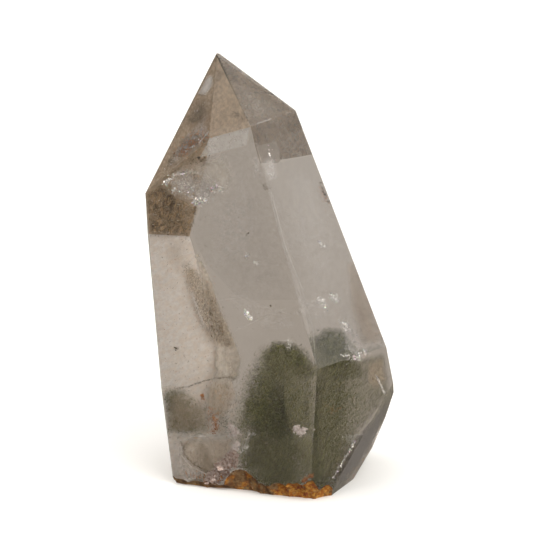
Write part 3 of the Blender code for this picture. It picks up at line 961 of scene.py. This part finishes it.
def crack_mesh(name, spots, sizes, ways, draw):
    """Small closed lens-shaped cracks as one mesh, each lying across its own direction."""
    count = len(spots)
    side_one = np.cross(ways, draw.normal(size=(count, 3)))
    side_one /= np.linalg.norm(side_one, axis=1)[:, None]
    side_two = np.cross(ways, side_one)
    angles = np.arange(CRACK_CORNERS) * 2.0 * math.pi / CRACK_CORNERS
    reach = draw.uniform(0.45, 1.0, size=(count, CRACK_CORNERS)) * (sizes / 2.0)[:, None]
    centre = (spots + np.array(SETTLE))[:, None]
    spokes = side_one[:, None] * np.cos(angles)[None, :, None]
    spokes = spokes + side_two[:, None] * np.sin(angles)[None, :, None]
    ring = centre + spokes * reach[:, :, None]
    crown = ways * (sizes * CRACK_CROWN)[:, None]
    points = np.concatenate((ring, centre + crown[:, None], centre - crown[:, None]), axis=1)
    faces = []
    for step in range(CRACK_CORNERS):
        after = (step + 1) % CRACK_CORNERS
        faces.append((step, after, CRACK_CORNERS))
        faces.append((after, step, CRACK_CORNERS + 1))
    return joined_mesh(name, points, faces)


def edge_distance(points, outline):
    """Distance of flat points to the nearest side of an outline."""
    nearest = np.full(len(points), FAR_AWAY)
    for start, end in zip(outline, np.roll(outline, -1, axis=0)):
        side = end - start
        share = np.clip((points - start) @ side / (side @ side), 0.0, 1.0)
        nearest = np.minimum(nearest, np.linalg.norm(points - start - share[:, None] * side, axis=1))
    return nearest


def veil_sheet(flat, top, bottom, cover, fade, outline):
    """One veil as a thin closed sheet: its points, faces and how much each point covers."""
    outline = np.array(outline, float)
    rim = []
    for start, end in zip(outline, np.roll(outline, -1, axis=0)):
        steps = max(1, int(round(np.linalg.norm(end - start) / VEIL_MESH)))
        rim.extend(start + (end - start) * step / steps for step in range(steps))
    rim = np.array(rim)
    low, high = outline.min(axis=0), outline.max(axis=0)
    across, down = np.meshgrid(np.arange(low[0], high[0], VEIL_MESH), np.arange(low[1], high[1], VEIL_MESH))
    inner = np.stack((across.ravel(), down.ravel()), axis=1)
    inner = inner[edge_distance(inner, outline) > VEIL_MESH * 0.6]
    flat_points = [Vector(point) for point in np.concatenate((rim, inner))]
    ring = [(step, (step + 1) % len(rim)) for step in range(len(rim))]
    found, edges, faces, _, _, _ = delaunay_2d_cdt(flat_points, ring, [], 1, CUT_WIDTH)
    pixels = np.array([tuple(point) for point in found])
    wave = VEIL_WAVE * np.sin(0.11 * pixels[:, 0] + 0.07 * pixels[:, 1])
    shares = np.interp(pixels[:, 1], (low[1], high[1]), (top, bottom))
    starts, bent, reach = bent_sight(pixels, flat)
    near = starts + bent * (reach * (shares + wave * (1.0 - shares)))[:, None]
    far = pulled_inside(near + bent * VEIL_THICKNESS, VEIL_MARGIN + VEIL_THICKNESS)
    near = pulled_inside(near, VEIL_MARGIN)
    clear = clear_of_chips(near, VEIL_CHIP_MARGIN)
    faces = [face for face in faces if all(clear[corner] for corner in face)]
    used = sorted({corner for face in faces for corner in face})
    renumber = {old: new for new, old in enumerate(used)}
    faces = [tuple(renumber[corner] for corner in face) for face in faces]
    pixels, near, far = pixels[used], near[used], far[used]
    covers = np.full(len(pixels), cover)
    if fade > 1.0:
        covers *= np.clip(edge_distance(pixels, outline) / fade, 0.0, 1.0)
    count = len(pixels)
    solid = list(faces) + [tuple(corner + count for corner in reversed(face)) for face in faces]
    sides = {}
    for face in faces:
        for first, second in zip(face, face[1:] + face[:1]):
            sides[(first, second)] = True
    for first, second in sides:
        if (second, first) not in sides:
            solid.append((second, first, first + count, second + count))
    return np.concatenate((near, far)), solid, np.concatenate((covers, covers))


def within(points, outline):
    """True for flat points inside an outline."""
    inside = np.zeros(len(points), bool)
    for start, end in zip(outline, np.roll(outline, -1, axis=0)):
        crosses = (start[1] > points[:, 1]) != (end[1] > points[:, 1])
        rise = end[1] - start[1] or TINY
        inside ^= crosses & (points[:, 0] < start[0] + (points[:, 1] - start[1]) * (end[0] - start[0]) / rise)
    return inside


def strand_mesh(name, rows, draw):
    """Thin closed spindles, each along its own line of pixels."""
    points = []
    for flat, top, bottom, way, stray, length, count, width, outline in rows:
        outline = np.array(outline, float)
        low, high = outline.min(axis=0), outline.max(axis=0)
        middle = draw.uniform(low, high, size=(count * 6, 2))
        middle = middle[within(middle, outline)][:count]
        count = len(middle)
        middle += draw.normal(size=(count, 2)) * draw.exponential(STRAND_STRAY, count)[:, None]
        turn = np.radians(way + stray * draw.normal(size=count))
        reach = 0.5 * length * draw.lognormal(-0.2, 0.5, count)[:, None]
        half = reach * np.stack((np.cos(turn), np.sin(turn)), axis=1)
        shares = np.interp(middle[:, 1], (low[1], high[1]), (top, bottom))
        shares = np.clip(shares * draw.uniform(0.86, 1.12, count), *SHARE_RANGE)
        ends = [seen_through(middle + side * half, flat, shares) for side in (-1.0, 1.0)]
        run = ends[1] - ends[0]
        across = np.cross(run, draw.normal(size=(count, 3)))
        across /= np.linalg.norm(across, axis=1)[:, None]
        other = np.cross(run, across)
        other /= np.linalg.norm(other, axis=1)[:, None]
        thick = width * draw.lognormal(-0.1, 0.3, count)[:, None] / 2.0
        belly = ends[0] + run * draw.uniform(0.3, 0.7, count)[:, None]
        ring = [belly + thick * (across * math.cos(turn) + other * math.sin(turn)) for turn in STRAND_CORNERS]
        kept = clear_of_chips(belly, STRAND_MARGINS[1])
        for end in ends:
            kept &= depth_inside(end) > STRAND_MARGINS[0]
        points.append(np.stack((*ends, *ring), axis=1)[kept])
    points = np.concatenate(points) + np.array(SETTLE)
    return joined_mesh(name, points, ((0, 3, 2), (0, 4, 3), (0, 2, 4), (1, 2, 3), (1, 3, 4), (1, 4, 2)))


def veil_mesh(name, rows):
    """All veils of one piece as one mesh, with how much each point covers."""
    points = []
    faces = []
    covers = []
    for row in rows:
        found, sides, shown = veil_sheet(*row)
        start = sum(len(each) for each in points)
        points.append(found)
        covers.append(shown)
        faces.extend(tuple(corner + start for corner in face) for face in sides)
    mesh = bpy.data.meshes.new(name)
    mesh.from_pydata(((np.concatenate(points) + np.array(SETTLE)) * MM).tolist(), [], faces)
    mesh.attributes.new("cover", "FLOAT", "POINT").data.foreach_set("value", np.concatenate(covers))
    bm = bmesh.new()
    bm.from_mesh(mesh)
    bmesh.ops.recalc_face_normals(bm, faces=bm.faces[:])
    bm.to_mesh(mesh)
    bm.free()
    return mesh


# Materials

def polished_quartz(settings):
    """Clear, faintly smoky quartz with polished flats."""
    material, recipe = new_material("smoky_clear_quartz")
    haze = recipe.between(0.42, 0.72, recipe.grain(9.0, 4.0))
    waves = recipe.grain(4.0, 1.0)
    surface = recipe.clear(
        base_color=recipe.tint((1.0, 0.99, 0.975), (0.96, 0.945, 0.92), haze),
        roughness=0.012 * recipe.between(0.5, 0.8, recipe.grain(3.0)),
        normal=recipe.relief(waves, 0.003, 0.5),
    )
    recipe.finish(surface, recipe.smoke(settings))
    return material


def broken_quartz(settings):
    """Broken faces of the foot: dull and rippled, stained ochre and rust in patches."""
    material, recipe = new_material("broken_quartz")
    ripples = recipe.grain(0.6, 4.0, 0.65)
    wash = recipe.between(0.4, 0.65, recipe.grain(2.5))
    clear = recipe.clear(
        base_color=recipe.tint((0.97, 0.94, 0.90), (0.90, 0.84, 0.76), wash),
        roughness=0.22 + 0.2 * recipe.between(0.35, 0.7, recipe.grain(0.8)),
        normal=recipe.relief(ripples, 0.06, 0.8),
    )
    dust_tone = recipe.tint((0.50, 0.46, 0.40), (0.66, 0.61, 0.55), recipe.grain(1.5))
    dust = recipe.skin(base_color=dust_tone, roughness=0.8)
    dull = recipe.mixed(0.25 + 0.35 * recipe.grain(1.8, 4.0), clear, dust)
    ochre = recipe.skin(base_color=(0.42, 0.27, 0.13, 1.0), roughness=0.75)
    stain = recipe.between(0.56, 0.70, recipe.grain(3.2, 4.0, 0.6))
    recipe.finish(recipe.mixed(0.6 * stain, dull, ochre), recipe.smoke(settings))
    return material


def ochre_crust(settings):
    """Chips of the front rim under an ochre and rust crust, with clear stone showing in places."""
    material, recipe = new_material("ochre_crust")
    clear = recipe.clear(
        base_color=(0.90, 0.80, 0.68, 1.0),
        roughness=0.3,
        normal=recipe.relief(recipe.grain(0.5, 4.0, 0.65), 0.08, 0.9),
    )
    height = recipe.add("ShaderNodeSeparateXYZ", output=2, vector=recipe.place())
    lumps = recipe.between(0.35, 0.65, recipe.grain(1.2, 4.0))
    brown = recipe.tint((0.10, 0.050, 0.022), (0.29, 0.18, 0.085), lumps)
    crumbs = recipe.between(0.4, 0.65, recipe.grain(0.6, 4.0))
    orange = recipe.tint((0.32, 0.105, 0.015), (0.55, 0.28, 0.06), crumbs)
    rust = recipe.tint(orange, (0.22, 0.05, 0.02), recipe.between(0.54, 0.64, recipe.grain(0.9, 4.0)))
    # more orange to the right, over a stretch of the rim in metres
    across = recipe.add("ShaderNodeSeparateXYZ", output=0, vector=recipe.place())
    right = recipe.between(0.0005, 0.0025, across)
    share = recipe.between(0.42, 0.60, recipe.grain(2.0, 5.0, 0.6) - 0.05 + 0.14 * right)
    crust = recipe.skin(
        base_color=recipe.tint(brown, rust, share),
        roughness=0.65 + 0.3 * recipe.grain(0.7),
        specular_ior_level=0.25,
        normal=recipe.relief(recipe.grain(0.3, 5.0, 0.7), 0.12, 0.9),
    )
    cover = recipe.between(0.26, 0.44, recipe.grain(1.6, 4.0, 0.6) - 12.0 * height + 0.05)
    recipe.finish(recipe.mixed(0.5 + 0.48 * cover, clear, crust), recipe.smoke(settings))
    return material


def dusted_quartz(name, settings, low_dust, high_dust, cover, size, azimuth, widen):
    """Natural face under a skin of fine dust, with a row's values from DUSTED; on the worn edges the dust
    also paints highlight lines.
    """
    material, recipe = new_material(name)
    place = recipe.add(
        "ShaderNodeMapping", {"vector_type": "TEXTURE"},
        vector=recipe.place(), rotation=(0.0, 0.0, math.radians(azimuth)), scale=(widen, 1.0, 1.0),
    )
    clear = recipe.clear(
        base_color=(0.97, 0.95, 0.92, 1.0),
        roughness=0.12 + 0.2 * recipe.between(0.4, 0.7, recipe.grain(2.0)),
        normal=recipe.relief(recipe.grain(0.9, 3.0), 0.02, 0.6),
    )
    tone = recipe.between(0.38, 0.62, recipe.grain(size * 1.7, 5.0, 0.65, place))
    dust = recipe.skin(
        base_color=recipe.tint(low_dust, high_dust, tone),
        roughness=0.7 + 0.2 * recipe.grain(1.0),
    )
    patches = recipe.between(0.38, 0.62, recipe.grain(size, 6.0, 0.75, place))
    surface = recipe.mixed(cover[0] + (cover[1] - cover[0]) * patches, clear, dust)
    recipe.finish(surface, recipe.smoke(settings))
    return material


def chlorite_dust(settings):
    """Dull green mineral grains, mottled between dark and dusty green, with brown patches."""
    material, recipe = new_material("green_chlorite")
    lumps = recipe.grain(0.9, 4.0, 0.65)
    tone = recipe.tint(settings.dark_green, settings.dusty_green, recipe.between(0.40, 0.62, lumps))
    recipe.finish(recipe.skin(
        base_color=recipe.tint(tone, (0.20, 0.15, 0.08), 0.5 * recipe.between(0.55, 0.75, recipe.grain(0.7))),
        roughness=0.65 + 0.2 * lumps,
    ))
    return material


def mineral_specks(name, dark, light, roughness):
    """Specks of a mineral, mottled between two colours."""
    material, recipe = new_material(name)
    mottle = recipe.between(0.35, 0.65, recipe.grain(0.5, 3.0))
    recipe.finish(recipe.skin(
        base_color=recipe.tint(dark, light, mottle),
        roughness=roughness + 0.15 * mottle,
        normal=recipe.relief(recipe.grain(0.1, 2.0), 0.02, 0.5),
    ))
    return material


def crack_glints():
    """Air-filled cracks that mirror the light, with faint rainbow colours."""
    material, recipe = new_material("crack_glints")
    hue = recipe.between(0.3, 0.7, recipe.grain(0.8, 2.0))
    rainbow = recipe.add("ShaderNodeCombineColor", {"mode": "HSV"}, s0=hue, s1=0.24, s2=1.0)
    recipe.finish(recipe.skin(
        base_color=recipe.tint((0.97, 0.96, 0.95), rainbow, recipe.between(0.5, 0.6, recipe.grain(1.8))),
        metallic=0.9,
        roughness=0.16 + 0.2 * recipe.grain(0.6),
    ))
    return material


def veil_finish(name, low, high, contrast, size, streaked):
    """Thin veil, thicker and thinner in fine patches, or in streaks that run down to the front."""
    material, recipe = new_material(name)
    cover = recipe.add("ShaderNodeAttribute", {"attribute_name": "cover"}, output=2)
    place = recipe.stretched((1.0, 0.22, 1.0), (0.85, 0.0, 0.35)) if streaked else recipe.place()
    patches = recipe.between(0.36, 0.64, recipe.grain(size, 5.0, 0.72, place))
    tone = recipe.between(0.38, 0.62, recipe.grain(0.55 * size, 4.0, 0.7, place))
    recipe.finish(recipe.skin(
        base_color=recipe.tint(low, high, tone),
        roughness=0.8,
        alpha=cover * (1.0 - contrast + contrast * patches),
    ))
    return material


# Settings that a user would change

class QUARTZ_PG_stone(bpy.types.PropertyGroup):
    """Finish of the clear stone."""

    edge_wear: bpy.props.FloatProperty(
        name="Edge wear", description="Width of the worn edges between the flats, in millimetres",
        default=0.14, min=0.0)
    smoke: bpy.props.FloatProperty(
        name="Smoke", description="How strongly the quartz absorbs light, per metre", default=6.0, min=0.0)
    smoke_colour: bpy.props.FloatVectorProperty(
        name="Smoke colour", description="Colour that light takes on in the stone", subtype="COLOR", size=3,
        default=(0.675, 0.55, 0.42))


class QUARTZ_PG_phantom(bpy.types.PropertyGroup):
    """The chlorite phantom."""

    grains: bpy.props.IntProperty(
        name="Grains", description="Number of fine grains drawn for the phantom", default=100000, min=100)
    grain_size: bpy.props.FloatProperty(
        name="Grain size", description="Width of a middling fine grain, in millimetres",
        default=0.14, min=0.02)
    lumps: bpy.props.IntProperty(
        name="Lumps", description="Number of coarse grains in the heart of the phantom",
        default=30000, min=100)
    lump_size: bpy.props.FloatProperty(
        name="Lump size", description="Width of a middling coarse grain, in millimetres",
        default=0.30, min=0.02)
    dark_green: bpy.props.FloatVectorProperty(
        name="Dark green", description="Colour of the dense grains", subtype="COLOR", size=3,
        default=(0.080, 0.088, 0.020))
    dusty_green: bpy.props.FloatVectorProperty(
        name="Dusty green", description="Colour of the dusty grains", subtype="COLOR", size=3,
        default=(0.23, 0.225, 0.085))


class QUARTZ_PG_flaws(bpy.types.PropertyGroup):
    """Specks and cracks in the stone."""

    crack_scatter: bpy.props.FloatProperty(
        name="Crack scatter", description="How far the small cracks stray from facing the light",
        default=0.28, min=0.0)


class QUARTZ_PG_veils(bpy.types.PropertyGroup):
    """Veils in the stone."""

    veil_contrast: bpy.props.FloatProperty(
        name="Veil contrast", description="How patchy the veils are, from 0 even to 1 broken up", default=0.7,
        min=0.0, max=1.0, subtype="FACTOR")


class QUARTZ_PG_stage(bpy.types.PropertyGroup):
    """Floor and light."""

    floor_side: bpy.props.FloatProperty(
        name="Floor side", description="Side of the square floor", default=8.0, unit="LENGTH")
    floor_colour: bpy.props.FloatVectorProperty(
        name="Floor colour", description="Colour of the pale floor", subtype="COLOR", size=3,
        default=(0.94, 0.94, 0.93))
    surround: bpy.props.FloatVectorProperty(
        name="Surround", description="Colour of the studio round the stone", subtype="COLOR", size=3,
        default=(0.385, 0.345, 0.305))
    overhead: bpy.props.FloatProperty(
        name="Overhead light", description="Brightness of the studio overhead", default=1.6, min=0.0)


# Pieces

def set_finishes(mesh):
    """Give each face that lies on a flat the finish of that flat."""
    for face in mesh.polygons:
        if face.material_index != POLISHED:
            continue
        # faces off every flat are the bevels of the edges: worn, with painted highlight lines
        face.material_index = WORN_AND_HIGHLIT
        for name, out in OUTWARD.items():
            level = abs(face.center.dot(out) - DISTANCE[name]) < ON_FLAT
            if level and face.normal.dot(out) > ALONG_FLAT:
                face.material_index = FINISH_OF_FLAT.get(name, POLISHED)


def break_rim(stone, crusted, broken):
    """Break the chips out of the rim of the foot, each with smaller bites along its edge."""
    draw = np.random.RandomState(3)
    for index, (azimuth, middle, half_widths) in enumerate(RIM_CHIPS + STAINED_CHIPS):
        finish = crusted if abs(azimuth) < 90.0 else broken
        take_away(stone, pebble(azimuth, middle, half_widths, 5, 0.8 * index, finish))
        turn = math.radians(azimuth)
        for bite in range(BITES):
            side = draw.uniform(-BITE_SPAN, BITE_SPAN)
            rise = math.sqrt(1.0 - side ** 2) * BITE_RISE
            spot = Vector(middle) + Vector((math.cos(turn), math.sin(turn), 0.0)) * (side * half_widths[0])
            spot = spot + Vector((0.0, 0.0, rise * half_widths[2]))
            spot = spot + Vector((math.sin(turn), -math.cos(turn), 0.0)) * BITE_OUT
            size = draw.uniform(*BITE_SIZES)
            widths = (size * BITE_WIDTHS[0], size * BITE_WIDTHS[1], size)
            take_away(stone, pebble(azimuth, spot, widths, 3, draw.uniform(0.0, 6.0), finish))


def scoop_back(stone, broken):
    """Take the shallow scallops out of the broken back of the foot."""
    out = OUTWARD["broken_back_foot"]
    for index, (x, y, half_width, depth) in enumerate(SCALLOPS):
        z = (DISTANCE["broken_back_foot"] - out.x * x - out.y * y) / out.z
        radius = min((half_width ** 2 + depth ** 2) / (2.0 * depth), half_width * SCALLOP_ROUNDNESS)
        middle = Vector((x, y, z)) + out * (radius - depth)
        take_away(stone, pebble(0.0, middle, (radius,) * 3, 5, 1.1 * index, broken))


def make_stone(settings):
    """Clear stone with worn edges whose pale dust also paints highlight lines, rippled chips round the foot
    and a rough broken back foot.
    """
    bm = blank_mesh()
    bmesh.ops.bevel(
        bm, geom=bm.edges[:], offset=settings.edge_wear,
        segments=2, profile=0.5, affect="EDGES", clamp_overlap=True)
    for face in bm.faces:
        face.smooth = False
    stone = work_object("quartz_point", bm)
    polished = polished_quartz(settings)
    broken = broken_quartz(settings)
    crusted = ochre_crust(settings)
    for finish in (polished, broken, crusted):
        stone.data.materials.append(finish)
    break_rim(stone, crusted, broken)
    scoop_back(stone, broken)
    mesh = stone.data
    for name, look in DUSTED.items():
        mesh.materials.append(dusted_quartz(name, settings, *look))
    set_finishes(mesh)
    mesh.transform(Matrix.Translation(SETTLE))
    mesh.transform(Matrix.Scale(MM, 4))
    for face in mesh.polygons:
        if face.material_index in (BROKEN, CRUSTED, WORN_AND_HIGHLIT):
            face.use_smooth = True
    declare(stone, STONE)


def ramp(values):
    """Values cut to lie between 0 and 1."""
    return np.clip(values, 0.0, 1.0)


def phantom_share(points):
    """0 in the middle of the phantom, 1 on its outline and more outside, and its height as a share."""
    shares = np.array([row[0] for row in PHANTOM_RINGS])
    height = (points[:, 2] - PHANTOM_FOOT) / (PHANTOM_TOP - PHANTOM_FOOT)
    x = np.interp(height, shares, [row[1] for row in PHANTOM_RINGS])
    y = np.interp(height, shares, [row[2] for row in PHANTOM_RINGS])
    wide = np.interp(height, np.append(shares, 1.05), [row[3] for row in PHANTOM_RINGS] + [0.2])
    deep = np.interp(height, np.append(shares, 1.05), [row[4] for row in PHANTOM_RINGS] + [0.2])
    reach = np.sqrt(((points[:, 0] - x) / wide) ** 2 + ((points[:, 1] - y) / deep) ** 2)
    return reach, height


def phantom_density(points):
    """How thick the chlorite dust is at points of the stone, from 0 to 1."""
    reach, height = phantom_share(points)
    dome = ramp((1.22 - reach) / 0.45) * ramp((1.05 - height) / 0.12)
    dome *= 0.35 + 0.65 * ramp((1.0 - height) / 0.35)
    along = np.array(STREAK_WAY)
    across = points - np.outer(points @ along, along)
    streaks = ramp(cloud(across + 0.06 * points, 0.7, 5.0) * 1.6 - 0.35)
    front = ramp((points[:, 1] + 2.0) / -6.0)
    # bed of dust on the foot, in front of the dome
    x_share = np.abs((points[:, 0] - 8.5) / 10.5)
    bed = ramp((1.15 - x_share) / 0.4) * ramp((7.0 + 0.55 * points[:, 1] * 0.5 - points[:, 2]) / 3.0)
    bed *= points[:, 1] < 8.0
    thick = np.maximum(dome * (1.0 - 0.6 * front + 0.6 * front * streaks), 0.8 * bed * (0.4 + 0.6 * streaks))
    # thinner to the right
    thick *= 1.0 - 0.55 * ramp((points[:, 0] - 7.0) / 5.0)
    return thick * (0.3 + 1.3 * ramp(cloud(points, 2.4, 3.0) - 0.2))


def heart_density(points):
    """How thick the coarse grains are in the heart of the phantom."""
    reach, height = phantom_share(points)
    fading = ramp((0.98 - reach) / 0.5) * ramp((0.86 - height) / 0.3)
    dust = phantom_density(points)
    bed = dust * (points[:, 2] < 6.0) * (reach >= 0.8)
    return ramp(dust * fading + 0.35 * bed)


def scattered(count, density, draw):
    """Points drawn in the dust's box in proportion to a density, kept inside the stone."""
    low, high = np.array(DUST_BOX)
    found = []
    total = 0
    while total < count:
        points = draw.uniform(low, high, size=(DRAWN_AT_ONCE, 3))
        keep = density(points) * well_inside(points, DUST_MARGINS)
        chosen = points[draw.uniform(size=len(points)) < keep]
        found.append(chosen)
        total += len(chosen)
    return np.concatenate(found)[:count]


def make_phantom(settings):
    """Dust of the phantom as joined meshes of small grains."""
    draw = np.random.RandomState(7)
    dust = chlorite_dust(settings)
    fine = scattered(settings.grains, phantom_density, draw)
    heart = scattered(settings.lumps, heart_density, draw)
    groups = [("chlorite_dust", part, settings.grain_size) for part in np.array_split(fine, PHANTOM_PIECES)]
    groups.append(("chlorite_heart", heart, settings.lump_size))
    for index, (kind, spots, size) in enumerate(groups):
        sizes = size * draw.lognormal(-0.1, 0.35, len(spots))
        name = "%s_%d" % (kind, index + 1)
        put_in_scene(name, flake_mesh(name, spots, sizes, draw), dust, PHANTOM)


def flaw_spots(rows, draw):
    """Points and sizes of every row of one piece's flaws, kept inside the stone."""
    spots = []
    sizes = []
    for flat, share, width, spread, count, size, path in rows:
        path = np.array(path, float)
        lengths = np.linalg.norm(np.diff(path, axis=0), axis=1)
        run = np.concatenate(((0.0,), np.cumsum(lengths)))
        along = draw.uniform(0.0, run[-1], count)
        middle = np.stack([np.interp(along, run, path[:, axis]) for axis in range(2)], axis=1)
        pixels = middle + draw.normal(size=(count, 2)) * width * draw.uniform(0.3, 1.2, count)[:, None]
        shares = np.clip(share + draw.normal(size=count) * spread, *SHARE_RANGE)
        found = seen_through(pixels, flat, shares)
        inside = well_inside(found, FLAW_MARGINS)
        spots.append(found[inside])
        sizes.append(size * draw.lognormal(-0.1, 0.4, int(inside.sum())))
    return np.concatenate(spots), np.concatenate(sizes)


def make_flaws(settings):
    """Specks, dust, mirror-like cracks and white fractured patches inside the stone, and pale lines along
    some edges that are painted highlights.
    """
    draw = np.random.RandomState(11)
    finishes = {"chlorite_wisp": bpy.data.materials["green_chlorite"], "glints": crack_glints()}
    for name, rows in FLAWS.items():
        finish = finishes.get(name) or mineral_specks(name, *MINERALS[name])
        spots, sizes = flaw_spots(rows, draw)
        if name in CRACKED:
            ways = np.array(GLINT_FACING)[None] + draw.normal(size=spots.shape) * settings.crack_scatter
            ways /= np.linalg.norm(ways, axis=1)[:, None]
            mesh = crack_mesh(name, spots, sizes, ways, draw)
        else:
            mesh = flake_mesh(name, spots, sizes, draw)
        put_in_scene(name, mesh, finish, PHANTOM if name in GREEN_PIECES else STONE)


def make_veils(settings):
    """Milky, beige, brown, smoky and green veils in the stone, the strands among them, and pale sheets that
    are painted highlights.
    """
    for name, rows in VEILS.items():
        low, high, follow, own, size, streaked = VEIL_LOOKS[name]
        contrast = own + follow * settings.veil_contrast
        finish = veil_finish(name, low, high, contrast, size, streaked)
        put_in_scene(name, veil_mesh(name, rows), finish, PHANTOM if name in GREEN_PIECES else STONE)
    draw = np.random.RandomState(17)
    for name, rows in STRANDS.items():
        finish = mineral_specks(name, *MINERALS[name])
        mesh = strand_mesh(name, rows, draw)
        put_in_scene(name, mesh, finish, PHANTOM if name in GREEN_PIECES else STONE)


def make_stage(settings):
    """Pale floor, soft studio light from all round and the camera at the photo's angle."""
    bm = bmesh.new()
    bmesh.ops.create_grid(bm, x_segments=2, y_segments=2, size=settings.floor_side / 2.0)
    floor = work_object("floor", bm)
    material, recipe = new_material("pale_floor")
    pale = recipe.skin(base_color=(*settings.floor_colour, 1.0), roughness=0.9, specular_ior_level=0.0)
    glow = recipe.add("ShaderNodeEmission", color=(*settings.surround, 1.0))
    recipe.finish(recipe.mixed(recipe.add("ShaderNodeLightPath"), glow, pale))
    floor.data.materials.append(material)

    world = bpy.data.worlds.new("studio")
    bpy.context.scene.world = world
    world.use_nodes = True
    recipe = Recipe(world.node_tree)
    way = recipe.add("ShaderNodeTexCoord")
    up = recipe.add("ShaderNodeSeparateXYZ", output=2, vector=way)
    overhead = tuple(tone * settings.overhead for tone in (1.0, 0.985, 0.96))
    light = recipe.tint(settings.surround, overhead, recipe.between(0.25, 0.95, up))
    for direction, colour, reach in SOFT_LIGHTS:
        facing_it = recipe.add(
            "ShaderNodeVectorMath", {"operation": "DOT_PRODUCT"}, output=1, s0=way, s1=direction)
        light = recipe.tint(light, colour, recipe.between(math.cos(math.radians(reach)), 1.0, facing_it))
    colour = recipe.tint(light, (1.0, 1.0, 1.0), recipe.add("ShaderNodeLightPath"))
    node = recipe.tree.nodes.new("ShaderNodeOutputWorld")
    recipe.plug(node, "surface", recipe.add("ShaderNodeBackground", color=colour, strength=1.0))

    camera = bpy.data.objects.new("camera", bpy.data.cameras.new("camera"))
    bpy.context.scene.collection.objects.link(camera)
    forward, right, up = camera_axes()
    camera.location = camera_place() * MM
    camera.rotation_euler = forward.to_track_quat("-Z", "Y").to_euler()
    camera.data.lens = LENS
    camera.data.sensor_width = SENSOR
    camera.data.clip_start, camera.data.clip_end = CLIP_RANGE
    bpy.context.scene.camera = camera
    scene = bpy.context.scene
    scene.view_settings.view_transform = "Standard"
    # light bounces many times between the flats of a clear stone
    scene.cycles.max_bounces = LIGHT_BOUNCES
    scene.cycles.glossy_bounces = LIGHT_BOUNCES
    scene.cycles.transmission_bounces = LIGHT_BOUNCES
    scene.cycles.transparent_max_bounces = 2 * LIGHT_BOUNCES


# Operators

class QUARTZ_OT_stone(bpy.types.Operator):
    """Make the clear stone"""

    bl_idname = "quartz.stone"
    bl_label = "Clear stone"

    def execute(self, context):
        make_stone(context.scene.quartz_stone)
        return {"FINISHED"}


class QUARTZ_OT_phantom(bpy.types.Operator):
    """Make the chlorite phantom"""

    bl_idname = "quartz.phantom"
    bl_label = "Chlorite phantom"

    def execute(self, context):
        make_phantom(context.scene.quartz_phantom)
        return {"FINISHED"}


class QUARTZ_OT_flaws(bpy.types.Operator):
    """Make the specks and cracks inside the stone"""

    bl_idname = "quartz.flaws"
    bl_label = "Specks and cracks"

    def execute(self, context):
        make_flaws(context.scene.quartz_flaws)
        return {"FINISHED"}


class QUARTZ_OT_veils(bpy.types.Operator):
    """Make the veils inside the stone"""

    bl_idname = "quartz.veils"
    bl_label = "Veils"

    def execute(self, context):
        make_veils(context.scene.quartz_veils)
        return {"FINISHED"}


class QUARTZ_OT_stage(bpy.types.Operator):
    """Make the floor, the light and the camera"""

    bl_idname = "quartz.stage"
    bl_label = "Stage"

    def execute(self, context):
        make_stage(context.scene.quartz_stage)
        return {"FINISHED"}


OPERATORS = (QUARTZ_OT_stage, QUARTZ_OT_stone, QUARTZ_OT_phantom, QUARTZ_OT_flaws, QUARTZ_OT_veils)


class QUARTZ_PT_panel(bpy.types.Panel):
    """Pieces of the quartz point"""

    bl_label = "Quartz point"
    bl_space_type = "VIEW_3D"
    bl_region_type = "UI"
    bl_category = "Quartz"

    def draw(self, context):
        for operator in OPERATORS:
            self.layout.operator(operator.bl_idname)


SETTINGS = {
    "quartz_stone": QUARTZ_PG_stone,
    "quartz_phantom": QUARTZ_PG_phantom,
    "quartz_flaws": QUARTZ_PG_flaws,
    "quartz_veils": QUARTZ_PG_veils,
    "quartz_stage": QUARTZ_PG_stage,
}
CLASSES = (*SETTINGS.values(), *OPERATORS, QUARTZ_PT_panel)


def register():
    for each in CLASSES:
        bpy.utils.register_class(each)
    for name, group in SETTINGS.items():
        setattr(bpy.types.Scene, name, bpy.props.PointerProperty(type=group))


def unregister():
    for name in SETTINGS:
        delattr(bpy.types.Scene, name)
    for each in reversed(CLASSES):
        bpy.utils.unregister_class(each)


def main():
    """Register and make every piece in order."""
    register()
    bpy.ops.quartz.stage()
    bpy.ops.quartz.stone()
    bpy.ops.quartz.phantom()
    bpy.ops.quartz.flaws()
    bpy.ops.quartz.veils()


if __name__ == "__main__":
    main()
